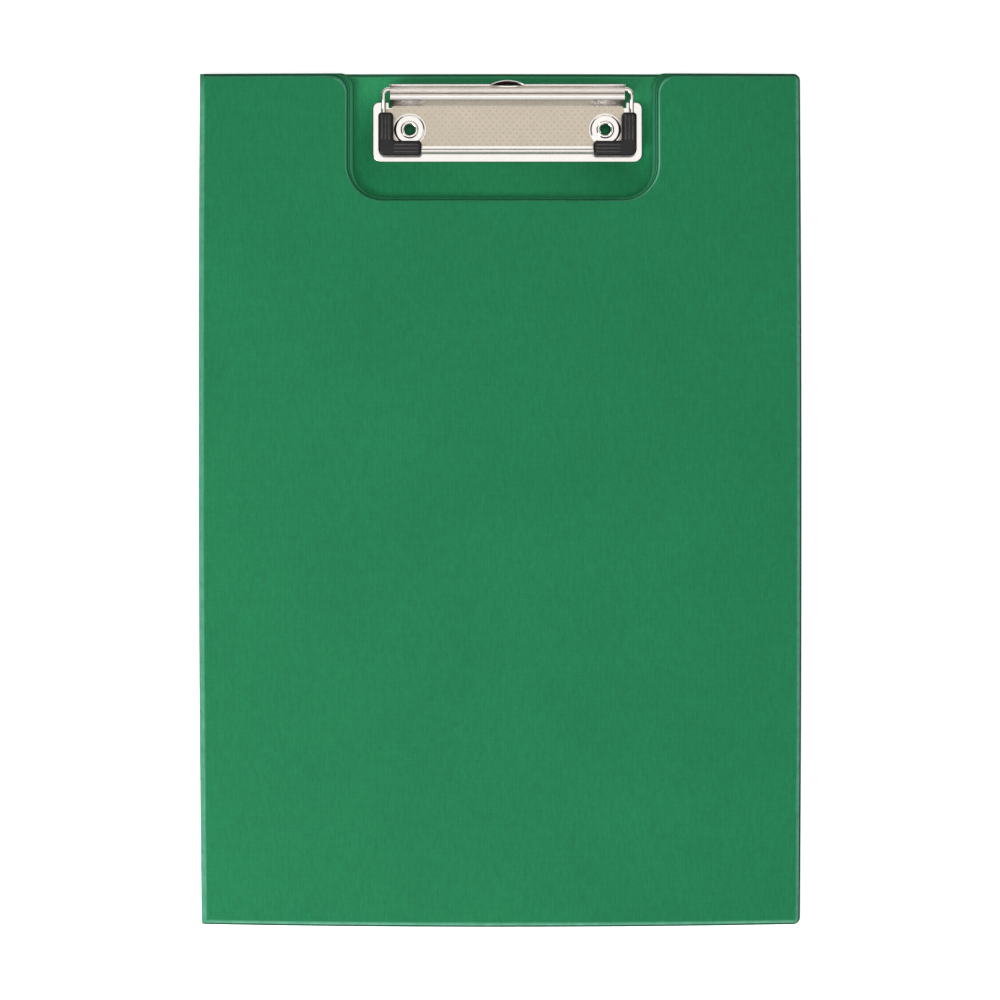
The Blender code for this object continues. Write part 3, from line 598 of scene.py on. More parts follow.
board = dict(
    cornerRadius=2.5, spineRadius=0.6, leastRadius=0.1, edgeRim=0.9, spineRim=0.3,
    cutWidth=112, cutCentre=1.0, cutDepth=46.5, cutRadius=11.0, mouthRadius=5.0, mouthEase=0.5, cutRim=2.2,
    weldHalf=0.4, foil=0.3, card=2.0, cardInset=1.25, cardCorner=0.2, cardChamfer=0.15, holeSteps=48,
    waviness=0.07, waveLength=17, faceMargin=0.6,
    topCalm=2.2, topHighlight=0.35,  # near the top edge the painted highlight is fainter
    cutRightHighlight=2.2,  # and the cut-out's right side takes the strongest painted highlight
)
# the weld's inner edge, for the top, the spine, the cut-out, its floor and the other edges; its tones are
# painted shade, with a painted highlight at the spine
seam = dict(insets=(0.10, 0.06, 0.10, 0.06, 0.08), tone=(-0.9, 0.3, -0.9, -0.9, -0.9))
bow = dict(left=0.85, leftTurn=0.35, right=0.6, bottom=1.1, top=0.3)  # how far each side leaves straight

# each row is (inset, height over the weld's surface, how far pressed, tone), from the outline to the face's
# edge; a tone below zero is painted shade, darker than the face, and above zero a paler painted highlight
freeEdge = [
    (0.00, -0.22, 1, -0.9), (0.04, -0.08, 1, -0.9), (0.14, 0.00, 1, -0.85), (0.35, 0.02, 1, -0.75),
    (0.55, 0.02, 1, -0.7), (0.66, 0.00, 1, -0.8), (0.76, -0.05, 1, -0.9), (0.84, -0.05, 0.9, -0.7),
    (0.92, 0.10, 0.6, 0.1), (1.04, 0.50, 0.35, 0.9), (1.20, 0.82, 0.2, 1.0), (1.50, 1.02, 0.1, 0.75),
    (2.00, 1.05, 0, 0),
]
lowEdge = [
    (0.00, -0.22, 1, -0.9), (0.03, -0.08, 1, -0.9), (0.10, 0.00, 1, -0.9), (0.20, 0.02, 1, -0.85),
    (0.30, 0.02, 1, -0.85), (0.38, 0.00, 1, -0.85), (0.46, -0.04, 1, -0.8), (0.54, 0.05, 0.9, -0.3),
    (0.64, 0.30, 0.6, 0.6), (0.80, 0.60, 0.35, 1.0), (1.05, 0.86, 0.2, 1.0), (1.45, 1.02, 0.1, 0.8),
    (2.00, 1.05, 0, 0),
]
spineEdge = [
    (0.00, -0.22, 1, 0.4), (0.02, -0.08, 1, 0.4), (0.05, 0.00, 1, 0.5), (0.10, 0.05, 1, 0.6),
    (0.15, 0.12, 1, 0.6), (0.20, 0.25, 1, 0.7), (0.26, 0.40, 1, 0.7), (0.32, 0.55, 0.9, 0.8),
    (0.40, 0.72, 0.6, 0.9), (0.52, 0.86, 0.35, 0.9), (0.66, 0.96, 0.2, 0.7), (0.86, 1.03, 0.1, 0.45),
    (1.30, 1.05, 0, 0),
]
cutEdge = [
    (0.00, -0.22, 1, -0.9), (0.05, -0.05, 1, -0.7), (0.15, 0.03, 1, 0.05), (1.20, 0.05, 1, 0.15),
    (1.42, -0.12, 1, -0.9), (1.62, 0.04, 1, -0.1), (1.85, 0.16, 1, 0.35), (2.06, 0.02, 1, -0.2),
    (2.30, -0.10, 0.7, -0.95), (2.44, 0.40, 0.35, 0.3), (2.58, 0.80, 0.2, 1.0), (2.84, 1.02, 0.1, 0.9),
    (3.15, 1.05, 0, 0),
]
cutFloorEdge = [
    (0.00, -0.22, 1, -0.9), (0.03, -0.05, 1, -0.9), (0.08, 0.02, 1, -0.5), (0.30, 0.04, 1, 0.0),
    (0.45, -0.02, 1, -0.8), (0.55, 0.05, 1, -0.1), (0.65, 0.10, 1, 0.25), (0.75, 0.02, 1, -0.2),
    (0.86, -0.08, 0.8, -0.9), (1.02, 0.25, 0.4, 0.0), (1.20, 0.70, 0.25, 0.35), (1.42, 1.00, 0.1, 0.3),
    (1.75, 1.05, 0, 0),
]
# in this order an edge's kind is its place in the list
edgeProfiles = [freeEdge, spineEdge, cutEdge, cutFloorEdge, lowEdge]
topKind, spineKind, cutKind, cutFloorKind, lowKind = range(5)
wavyRings = range(7, 13)  # counted from the seam, these ripple a little along the edge


def slack(x, y):
    # the foil's outline isn't ruled: it bows out slightly between the corners
    s, t = x / halfWide, y / halfTall
    left = max(bow["left"] * t * t - bow["leftTurn"] * t, 0)
    x += left * max(-s, 0) ** 3 - bow["right"] * t * t * max(s, 0) ** 3
    y += bow["bottom"] * s * s * max(-t, 0) ** 3 - bow["top"] * s * s * max(t, 0) ** 3
    return x, y


def panelCorners(insets, hasCut):
    # the outline's corners, moved in by each kind's inset, and the kind of edge after each corner
    edge, spineInset, cut, cutFloorInset, low = insets
    b = board
    left = panelLeft + spineInset
    right, bottom, top = halfWide - low, low - halfTall, halfTall - edge
    spineRadius = max(b["spineRadius"] - spineInset, b["leastRadius"])
    freeRadius = max(b["cornerRadius"] - edge, b["leastRadius"])
    corners = [(left, bottom, spineRadius), (right, bottom, freeRadius), (right, top, freeRadius)]
    kinds = [lowKind, lowKind, topKind]
    if hasCut:
        cutLeft = b["cutCentre"] - b["cutWidth"] / 2 - cut
        cutRight = b["cutCentre"] + b["cutWidth"] / 2 + cut
        cutFloor = halfTall - b["cutDepth"] - cutFloorInset
        mouth = b["mouthRadius"] + b["mouthEase"] * cut
        corners += [
            (cutRight, top, mouth), (cutRight, cutFloor, b["cutRadius"] + cut),
            (cutLeft, cutFloor, b["cutRadius"] + cut), (cutLeft, top, mouth),
        ]
        kinds += [cutKind, cutFloorKind, cutKind, topKind]
    corners.append((left, top, spineRadius))
    kinds.append(spineKind)
    return corners, kinds


def panelRing(insets, hasCut, counts=None):
    corners, kinds = panelCorners(insets, hasCut)
    return roundedPath(corners, kinds, counts=counts)


def wavy(x, y):
    return board["waviness"] * noise.noise(Vector((x / board["waveLength"], y / board["waveLength"], 0.3)))


def edgeRow(k):
    # the seam's inner edge first, then the profiles' rows, then one more a little way in on the face
    if k == 0:
        return seam["insets"], [-board["weldHalf"]] * 5, [1.0] * 5, seam["tone"]
    last = len(freeEdge) - 1
    rows = [profile[min(k - 1, last)] for profile in edgeProfiles]
    extra = board["faceMargin"] if k - 1 > last else 0
    insets, heights, press, tone = zip(*rows)
    return [inset + extra for inset in insets], heights, press, tone


def foilPan(name, body, material, replaces, middle, faceUp, hasCut, holes=()):
    # one foil of a board: its weld rim, its step over the card's edge and its flat face
    side = 1 if faceUp else -1
    work = bmesh.new()
    rings, presses, tones, counts = [], [], [], None
    for k in range(len(freeEdge) + 2):
        insets, heights, press, tone = edgeRow(k)
        points, used = panelRing(insets, hasCut, counts)
        counts = counts or used
        ring = []
        for point, kindA, kindB, share in points:
            height = mix(heights[kindA], heights[kindB], ease(share))
            x, y = slack(point.x, point.y)
            if k in wavyRings:
                x += wavy(x, y)
                y += wavy(y + 40, x)
            ring.append(work.verts.new((x, y, middle + side * (board["weldHalf"] + height))))
            presses.append(mix(press[kindA], press[kindB], ease(share)))
            # painted shade in the rims and a painted highlight on the slopes, the highlight fainter near the
            # top and strongest on the cut-out's right side
            here = mix(tone[kindA], tone[kindB], ease(share))
            if here > 0 and y > halfTall - board["topCalm"]:
                here *= board["topHighlight"]
            if here > 0 and kindA == cutKind and x > 0:
                here *= board["cutRightHighlight"]
            tones.append(here)
        rings.append(ring)
    loftRings(work, rings)
    faceLevel = rings[-1][0].co.z
    holeLoops = [ringOf(work, circlePoints(*hole, board["holeSteps"]), faceLevel) for hole in holes]
    for loop in holeLoops:
        presses += [0.0] * len(loop)
        tones += [0.0] * len(loop)
    fillLoops(work, [rings[-1]] + holeLoops, up=faceUp)
    bmesh.ops.recalc_face_normals(work, faces=work.faces)
    biggest = max(work.faces, key=lambda face: face.calc_area())
    if (biggest.normal.z > 0) != faceUp:
        bmesh.ops.reverse_faces(work, faces=work.faces)
    pan = newPiece(name, work, material, body, replaces)
    for label, values in (("pressed", presses), ("edgeTone", tones)):
        attribute = pan.data.attributes.new(label, "FLOAT", "POINT")
        attribute.data.foreach_set("value", values)
    addThickness(pan, board["foil"], -1)


def cardPiece(name, node, body, hasCut, holes=()):
    rims = [board[key] for key in ("edgeRim", "spineRim", "cutRim", "cutRim", "edgeRim")]
    insets = [rim + board["cardInset"] for rim in rims]
    low, corner, chamfer = boxOf(node)[0].z, board["cardCorner"], board["cardChamfer"]
    work = bmesh.new()
    levels = [(chamfer, 0), (0, corner), (0, board["card"] - corner), (chamfer, board["card"])]
    rings, counts = [], None
    for shrink, height in levels:
        points, used = panelRing([inset + shrink for inset in insets], hasCut, counts)
        counts = counts or used
        rings.append(ringOf(work, [slack(p.x, p.y) for p, *rest in points], low + height))
    loftRings(work, rings)
    holeEnds = []
    for ring, up in ((rings[0], False), (rings[-1], True)):
        z = ring[0].co.z
        loops = [ringOf(work, circlePoints(*hole, board["holeSteps"]), z) for hole in holes]
        fillLoops(work, [ring] + loops, up=up)
        holeEnds.append(loops)
    for lower, upper in zip(*holeEnds):
        loftRings(work, [lower, upper])
    bmesh.ops.recalc_face_normals(work, faces=work.faces)
    newPiece(name, work, greyboard, body, [node], sharpAngle=40)


eyelets = {}
for side in ("left", "right"):
    low, high = boxOf(f"eyelet_{side}")
    eyelets[side] = dict(x=(low.x + high.x) / 2, y=(low.y + high.y) / 2, low=low.z, high=high.z)
barrelHole = 2.6
eyeletHoles = [(e["x"], e["y"], barrelHole) for e in eyelets.values()]

for name, node, body, middle, faceUp, holes in (
    ("back_foil_outside", "back_outer_skin", "back", lowerCrease.z, False, ()),
    ("back_foil_inside", "back_inner_skin", "back", lowerCrease.z, True, eyeletHoles),
    ("cover_foil_outside", "cover_outer_skin", "cover", upperCrease.z, True, ()),
    ("cover_foil_inside", "cover_inner_skin", "cover", upperCrease.z, False, ()),
):
    outside = name.endswith("outside")
    foil, slot = (coverFoil, "cover_foil") if outside else (liningFoil, "lining_foil")
    foilPan(name, body, foil, [node], middle, faceUp, body == "cover", holes)
cardPiece("back_card", "back_board_core", "back", False, eyeletHoles)
cardPiece("cover_card", "cover_board_core", "cover", True)
print("boards made")


spine = dict(
    thickness=0.3, roundness=0.7, rows=44, endInset=0.05, topCorner=0.1, bottomCorner=0.6,
    tone=0.8, plainHalf=1.75, toneRun=0.5, standoff=0.02,
    outerLead=((0.42, 1.06), (0.2, 0.86)), outerStart=78,  # over the panel's edge, and where the turn starts
    innerApart=0.42, innerLead=(0.12, -0.05), innerDrop=0.2, innerRadius=0.35, innerTurn=0.55,
    blendOut=0.05, blendBack=0.3, blendAcross=0.15, blendLevel=0.55,
)


def spineFoil(name, path, material, replaces):
    # a strip of foil along the whole height, on one side of the spine, over one crease
    work = bmesh.new()
    tone = work.verts.layers.float.new("edgeTone")
    centreLevel = (lowerCrease.z + upperCrease.z) / 2
    reach = halfTall - spine["endInset"]
    rows = []
    for r in range(spine["rows"] + 1):
        row = []
        for point in path:
            out = min(max((panelLeft - point.x) / (panelLeft - spineLow.x), 0), 1) ** 3
            bottom, top = -reach + spine["bottomCorner"] * out, reach - spine["topCorner"] * out
            x, y = slack(point.x, mix(bottom, top, r / spine["rows"]))
            vert = work.verts.new((x, y, point.y))
            # the outside foil takes a painted highlight where it rounds over the creases, none on the spine's
            # flat middle
            turned = ease((abs(point.y - centreLevel) - spine["plainHalf"]) / spine["toneRun"])
            vert[tone] = spine["tone"] * turned if material is coverFoil else 0.0
            row.append(vert)
        rows.append(row)
    for lower, upper in zip(rows, rows[1:]):
        for i in range(len(path) - 1):
            work.faces.new((lower[i], lower[i + 1], upper[i + 1], upper[i]))
    bmesh.ops.recalc_face_normals(work, faces=work.faces)
    strip = newPiece(name, work, material, None, replaces)
    addThickness(strip, spine["thickness"])
    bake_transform(strip)


def spinePath(outside, crease, up):
    # from the panel round to the middle of the spine; up is -1 at the lower crease and 1 at the upper one
    middle = (lowerCrease.z + upperCrease.z) / 2
    edge = spineLow.x + spine["thickness"] / 2 + spine["standoff"]
    if outside:
        centre = Vector((edge + spine["roundness"], crease.z - spine["standoff"] * up))
        lead = [Vector((panelLeft + x, crease.z + up * z)) for x, z in spine["outerLead"]]
        turn = arc(centre, spine["roundness"], spine["outerStart"] * up, 180 * up, 12)
    else:
        edge += spine["innerApart"]
        centre = Vector((edge + spine["innerRadius"], crease.z - up * spine["innerTurn"]))
        lead = [Vector((panelLeft + x, crease.z - up * spine["innerDrop"])) for x in spine["innerLead"]]
        turn = arc(centre, spine["innerRadius"], 90 * up, 180 * up, 6)
    tail = [Vector((edge, mix(centre.y, middle, k / 4))) for k in range(1, 5)]
    return lead + turn + tail


for label, foil, slot, node in (
    ("outside", coverFoil, "cover_foil", "spine_outer_skin"),
    ("inside", liningFoil, "lining_foil", "spine_inner_skin"),
):
    spineFoil(f"spine_foil_{label}_lower",
              spinePath(label == "outside", lowerCrease, -1), foil, [node])
    spineFoil(f"spine_foil_{label}_upper",
              spinePath(label == "outside", upperCrease, 1), foil, [])
print("spine made")

pocket = dict(thickness=0.16, weld=1.0, steps=28)


def makePocket():
    # a triangle of clear foil in the cover's lower corner, welded on two sides
    low, high = boxOf("cover_pocket")
    steps = pocket["steps"]
    level = (low.z + high.z) / 2
    work = bmesh.new()
    pressed = work.verts.layers.float.new("pressed")
    rows = []
    for r in range(steps + 1):  # from the bottom edge up to the corner at the free edge
        row = []
        for c in range(steps + 1):
            openX = mix(low.x, high.x, r / steps)
            x, y = mix(high.x, openX, c / steps), mix(low.y, high.y, r / steps)
            vert = work.verts.new((*slack(x, y), level))
            welded = high.x - x < pocket["weld"] or y - low.y < pocket["weld"]
            vert[pressed] = 1.0 if welded or c == steps else 0.0
            row.append(vert)
        rows.append(row)
    for a, b in zip(rows, rows[1:]):
        for i in range(steps):
            work.faces.new((a[i], a[i + 1], b[i + 1], b[i]))
    bmesh.ops.remove_doubles(work, verts=work.verts, dist=0.02)
    bmesh.ops.recalc_face_normals(work, faces=work.faces)
    sheet = newPiece("cover_pocket_foil", work, clearFoil, "cover", ["cover_pocket"])
    addThickness(sheet, pocket["thickness"])


makePocket()
print("pocket made")


plate = dict(
    thickness=0.7, cornerRadius=2.4, frontRadius=3.0, earRadius=0.4, notchRadius=0.12,
    edge=0.28, underEdge=0.1,
    tongueWidth=86.8, tongueLap=0.5, relief=1.0, reliefDepth=2.0, rearFromPivot=1.5, seam=0.02,
    bendFromRear=1.3, bendRadius=0.9, hookBead=0.6,
    seatRadius=5.9, seatFoot=0.15, seatEdge=1.0, seatFlat=0.4, seatHeight=0.3, bore=2.5,
    zoneLeft=-43.4, zoneRight=46.6, zoneFront=5.9, zoneFromRelief=0.6, zoneRadius=1.2,
)


def plateOutline(inset, counts):
    # round the plate, with a slot each side of the tongue and a flat edge under the tongue
    p = plate
    left, right, front = plateLow.x + inset, plateHigh.x - inset, plateLow.y + inset
    rear = leverPivot.y - p["rearFromPivot"]
    slotEnd = rear - p["reliefDepth"]
    tongueRoot = slotEnd - p["tongueLap"]
    ear = p["tongueWidth"] / 2 + p["relief"] + inset
    tongueSide = p["tongueWidth"] / 2 + p["seam"]
    rearHalf = [
        (ear, rear - inset, p["earRadius"] - inset * 0.9), (ear, slotEnd - inset, p["notchRadius"]),
        (tongueSide, slotEnd - inset, p["notchRadius"]), (tongueSide, tongueRoot, 0.1),
    ]
    corners = [
        (left, front, p["frontRadius"] - inset), (right, front, p["frontRadius"] - inset),
        (right, rear - inset, p["cornerRadius"] - inset),
    ]
    corners += [(clipX + x, y, radius) for x, y, radius in rearHalf]
    corners += [(clipX - x, y, radius) for x, y, radius in rearHalf[::-1]]
    corners.append((left, rear - inset, p["cornerRadius"] - inset))
    kinds = [0] * len(corners)
    kinds[6] = 1  # the edge under the tongue stays level with the top
    return roundedPath(corners, kinds, arcSteps=6, spacing=30, counts=counts)


def makePlate():
    p = plate
    low, top = plateLow.z, plateLow.z + p["thickness"]
    rear = leverPivot.y - p["rearFromPivot"]
    slotEnd = rear - p["reliefDepth"]
    tongue, edge = p["tongueWidth"] / 2, p["edge"]
    work = bmesh.new()
    levels = [(p["underEdge"], low), (0, low + p["underEdge"]), (0, top - edge)]
    levels += [(edge * (1 - math.cos(a)), top - edge + edge * math.sin(a)) for a in (0.5, 1.0, math.pi / 2)]
    levels.append((edge + 0.15, top))
    rings, counts = [], None
    for inset, z in levels:
        points, used = plateOutline(inset, counts)
        counts = counts or used
        ring = []
        for point, kindA, kindB, share in points:
            flat = mix(kindA, kindB, share) if z > low + 0.3 else 0
            ring.append(work.verts.new((point.x, point.y, mix(z, top, flat))))
        rings.append(ring)
    loftRings(work, rings)

    # smooth border, then the textured field, then a polished raised seat round each eyelet
    zoneFront, zoneRear = plateLow.y + p["zoneFront"], slotEnd - p["zoneFromRelief"]
    zone = [
        (p["zoneLeft"], zoneFront, p["zoneRadius"]), (p["zoneRight"], zoneFront, p["zoneRadius"]),
        (p["zoneRight"], zoneRear, 0.2), (p["zoneLeft"], zoneRear, 0.2),
    ]
    zonePoints, used = roundedPath(zone, [0] * 4, arcSteps=5, spacing=40)
    zoneRing = ringOf(work, [point for point, *rest in zonePoints], top)
    fillLoops(work, [rings[-1], zoneRing], 0)
    seatLoops, holeLoops = [], []
    foot, height, edge = p["seatRadius"], p["seatHeight"], p["seatEdge"]
    for eyelet in eyelets.values():
        steps = [(foot + p["seatFoot"], 0)] + [(foot - edge * k / 8, height * ease(k / 8)) for k in range(9)]
        steps += [(foot - edge - p["seatFlat"], height), (p["bore"], height)]
        steps.append((p["bore"] - 0.05, -p["thickness"]))
        seat = [ringOf(work, circlePoints(eyelet["x"], eyelet["y"], radius), top + z) for radius, z in steps]
        seatLoops.append(seat[0])
        holeLoops.append(seat[-1])
        loftRings(work, seat)
    fillLoops(work, [zoneRing] + seatLoops, 1)
    fillLoops(work, [rings[0]] + holeLoops, 0, up=False)

    # the tongue: up a sloping wall and round the bead that the lever turns on
    middle = low + p["thickness"] / 2
    bend = Vector((rear - p["bendFromRear"], middle))
    pivot = Vector((leverPivot.y, leverPivot.z))
    slope = (pivot - bend).angle(Vector((1, 0)))
    centre = bend + Vector((-p["bendRadius"] * math.tan(slope / 2), p["bendRadius"]))
    path = [Vector((slotEnd - p["tongueLap"] - p["seam"], middle)), Vector((slotEnd, middle))]
    path += arc(centre, p["bendRadius"], -90, -90 + math.degrees(slope), 12)
    path.append(pivot)
    upper, under = stripOutline(path, p["thickness"])
    sectionPiece(work, upper + under[::-1], clipX - tongue, clipX + tongue)
    sectionPiece(work, arc(pivot, p["hookBead"], 0, 337.5, 15), clipX - tongue, clipX + tongue)
    bmesh.ops.recalc_face_normals(work, faces=work.faces)
    for face in work.faces:
        middle = face.calc_center_median()
        face.normal_update()
        across = abs(middle.x - clipX)
        if face.normal.z > 0.9 and zoneRear < middle.y < bend.x and across < tongue:
            face.material_index = 1
        # the tongue's sloping wall and bead take the paler nickel, painted light
        elif middle.y > bend.x and across < tongue + 0.01 and middle.z > top:
            face.material_index = 2
    newPiece("clip_plate", work, [plateNickel, texturedNickel, nickelPaintedLit], "back",
             ["clip_base_plate"], sharpAngle=35)


makePlate()
print("clip plate made")


lever = dict(
    width=87.8, thickness=0.6, clearance=0.15, curlFront=178, curlRear=-14, lean=14, height=9.3,
    cornerRadius=0.8, wireRadius=0.85, wireClearance=0.15, sleeveWall=0.5, footDrop=0.8, bead=0.6,
    eyeWidth=12.7, eyeBulge=1.7, eyeWindow=2.2, notch=1.5, notchBelow=0.1,
    dish=[(0, 1), (0.8, 1), (1.6, 0.92), (2.4, 0.75), (3.1, 0.45)],  # down from the top, and how far it bows
    dishWall=0.35, dishLap=0.25, dishOff=0.1, dishSteps=32,
    flangeRows=(0, 1.5, 3.0, 4.5, 6.0), shoulder=1.3, flangeBevel=0.14, curlBevel=0.12,
)
lean = math.radians(lever["lean"])
flangeUp = Vector((math.sin(lean), math.cos(lean)))  # (y, z) up the flange and out of its front face
flangeFront = Vector((-math.cos(lean), math.sin(lean)))
wireBore = lever["wireRadius"] + lever["wireClearance"]
flangeFoot = Vector((wireAxis.y, wireAxis.z)) + flangeFront * (wireBore + lever["thickness"] / 2)
flangeFoot -= flangeUp * lever["footDrop"]


def makeFlange():
    v = lever
    half, halfEye, radius, high = v["width"] / 2, v["eyeWidth"] / 2, v["cornerRadius"], v["height"]
    nearly = halfEye - 0.02
    side = [-half, -half + 0.1, -half + 0.3, -half + radius]
    side += [mix(-half + radius, -halfEye - 0.5, k / 8) for k in range(1, 9)]
    columns = side + [-halfEye] + [mix(-nearly, nearly, k / 28) for k in range(29)] + [halfEye]
    columns += [-c for c in side[::-1]]
    window = high - v["eyeWindow"]
    heights = [*v["flangeRows"], window, high - v["shoulder"], high - radius, high]
    work = bmesh.new()
    grid = []
    for h in heights:
        row = []
        for c in columns:
            tall = h
            inset = radius - (half - abs(c))
            if inset > 0 and h == high:  # the top's rounded ends
                tall = high - radius + math.sqrt(max(radius ** 2 - inset ** 2, 0)) + 0.01
            if abs(c) <= nearly and h == window:  # the notch at the hanging eye
                tall = high - v["notchBelow"] - v["notch"] * (1 - (c / halfEye) ** 2)
            spot = flangeFoot + flangeUp * tall
            row.append(work.verts.new((clipX + c, spot.x, spot.y)))
        grid.append(row)
    for r in range(len(heights) - 1):
        for i in range(len(columns) - 1):
            inEye = abs((columns[i] + columns[i + 1]) / 2) < halfEye
            if not (inEye and heights[r] >= window):
                work.faces.new((grid[r][i], grid[r][i + 1], grid[r + 1][i + 1], grid[r + 1][i]))
    bmesh.ops.recalc_face_normals(work, faces=work.faces)
    # the flange takes the paler nickel, painted light
    sheet = newPiece("lever_flange", work, nickelPaintedLit, "lever", ["clip_lever"],
                     sharpAngle=60)
    addThickness(sheet, v["thickness"])
    addBevel(sheet, v["flangeBevel"])


def makeHangingEye():
    # the strip behind the notch, bowed back and painted dark inside as the eye's shade
    v = lever
    halfEye, bulge, steps = v["eyeWidth"] / 2, v["eyeBulge"], v["dishSteps"]
    bowRadius = (halfEye ** 2 + bulge ** 2) / (2 * bulge)
    work = bmesh.new()
    rows = []
    for down, depth in v["dish"]:
        row = []
        for k in range(steps + 1):
            c = mix(-halfEye - v["dishLap"], halfEye + v["dishLap"], k / steps)
            bowed = max(math.sqrt(bowRadius ** 2 - c * c) - (bowRadius - bulge), 0) * depth
            spot = flangeFoot + flangeUp * (v["height"] - down) - flangeFront * (bowed + v["dishOff"])
            row.append(work.verts.new((clipX + c, spot.x, spot.y)))
        rows.append(row)
    for a, b in zip(rows, rows[1:]):
        for i in range(steps):
            work.faces.new((a[i], b[i], b[i + 1], a[i + 1]))
    for face in work.faces:
        face.normal_update()
    if next(iter(work.faces)).normal.y < 0:
        bmesh.ops.reverse_faces(work, faces=work.faces)
    dish = newPiece("lever_hanging_eye", work, [nickel, darkNickel], "lever")
    addThickness(dish, v["dishWall"], -1).material_offset = 1


def makeCurl():
    # the curl that turns on the plate's bead, and the sleeve that holds the wire's ends
    v = lever
    wire = Vector((wireAxis.y, wireAxis.z))
    half = v["width"] / 2
    curlRadius = v["bead"] + v["clearance"] + v["thickness"] / 2
    path = arc((leverPivot.y, leverPivot.z), curlRadius, v["curlFront"], v["curlRear"], 40)
    outside, inside = stripOutline(path, v["thickness"])
    work = bmesh.new()
    sectionPiece(work, outside + inside[::-1], clipX - half, clipX + half)
    outer = arc(wire, wireBore + v["sleeveWall"], 100, 440, 40)
    inner = arc(wire, wireBore, 100, 440, 40)
    sectionPiece(work, outer + inner[::-1], clipX - half, clipX + half)
    bmesh.ops.recalc_face_normals(work, faces=work.faces)
    piece = newPiece("lever_curl", work, nickel, "lever", [], sharpAngle=40)
    addBevel(piece, v["curlBevel"])


makeFlange()
makeHangingEye()
makeCurl()
print("lever made")


bail = dict(radius=0.85, shoulder=2.25, corner=3.0, endGap=24, steps=14, gripLength=16.2, gripOutside=1.9)


def bailPath():
    # from one turned-in end, round a shoulder, down a leg and round a corner to the front bar, then back
    b = bail
    rear, level = wireAxis.y, wireAxis.z
    barY = wireLow.y + b["radius"]
    barZ = wireLow.z + b["radius"]
    legX = (wireHigh.x - wireLow.x) / 2 - b["radius"]
    legTop = rear - b["shoulder"]
    legFoot = barY - b["gripOutside"] + b["gripLength"]
    half = [Vector((b["endGap"] / 2, rear, level))]
    for point in arc((legX - b["shoulder"], legTop), b["shoulder"], 90, 0, b["steps"]):
        half.append(Vector((point.x, point.y, level)))
    for k in range(1, b["steps"] + 1):
        share = k / b["steps"]
        half.append(Vector((legX, mix(legTop, legFoot, share), mix(level, barZ, ease(share)))))
    for point in arc((legX - b["corner"], barY + b["corner"]), b["corner"], 0, -90, b["steps"]):
        half.append(Vector((point.x, point.y, barZ)))
    mirrored = [Vector((-p.x, p.y, p.z)) for p in reversed(half)]
    return [p + Vector((clipX, 0, 0)) for p in half + mirrored]


def makeWire():
    curve = bpy.data.curves.new("bail_wire", "CURVE")
    curve.dimensions = "3D"
    curve.bevel_depth = bail["radius"] * mm
    curve.bevel_resolution = 7
    curve.use_fill_caps = True
    path = bailPath()
    spline = curve.splines.new("POLY")
    spline.points.add(len(path) - 1)
    for point, place in zip(spline.points, path):
        point.co = (*(place * mm), 1)
    spline.use_smooth = True
    wire = bpy.data.objects.new("bail_wire", curve)
    bpy.context.scene.collection.objects.link(wire)
    curve.materials.append(wireNickel)
    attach(wire, "bail")
    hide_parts("wire_bail")


makeWire()


grip = dict(
    length=16.2, width=5.6, corner=2.5, end=1.3, inner=1.0, topRound=0.9, bottomRound=0.4,
    ribs=3, ribPitch=1.3, ribRadius=0.36, ribRise=0.26, ribSunk=0.1, ribStart=1.3, ribLength=8.6,
)


def capsule(work, start, end, radius, rise, z):
    # a low rounded rib lying on the grip's top face
    along = (end - start).normalized()
    across = Vector((-along.y, along.x))
    length, sunk = (end - start).length, grip["ribSunk"]
    tips = [(radius, 0.05), (radius * 0.7, 0.7), (0, 1.0)]
    stations = [(-s, size) for s, size in tips] + [(length + s, size) for s, size in tips[::-1]]
    rings = []
    for s, size in stations:
        ring = []
        for k in range(9):
            a = math.pi * k / 8
            spot = start + along * s + across * (radius * size * math.cos(a))
            ring.append(work.verts.new((spot.x, spot.y, z - sunk + (rise + sunk) * size * math.sin(a))))
        rings.append(ring)
    for a, b in zip(rings, rings[1:]):
        for k in range(8):
            work.faces.new((a[k], a[k + 1], b[k + 1], b[k])).material_index = 1


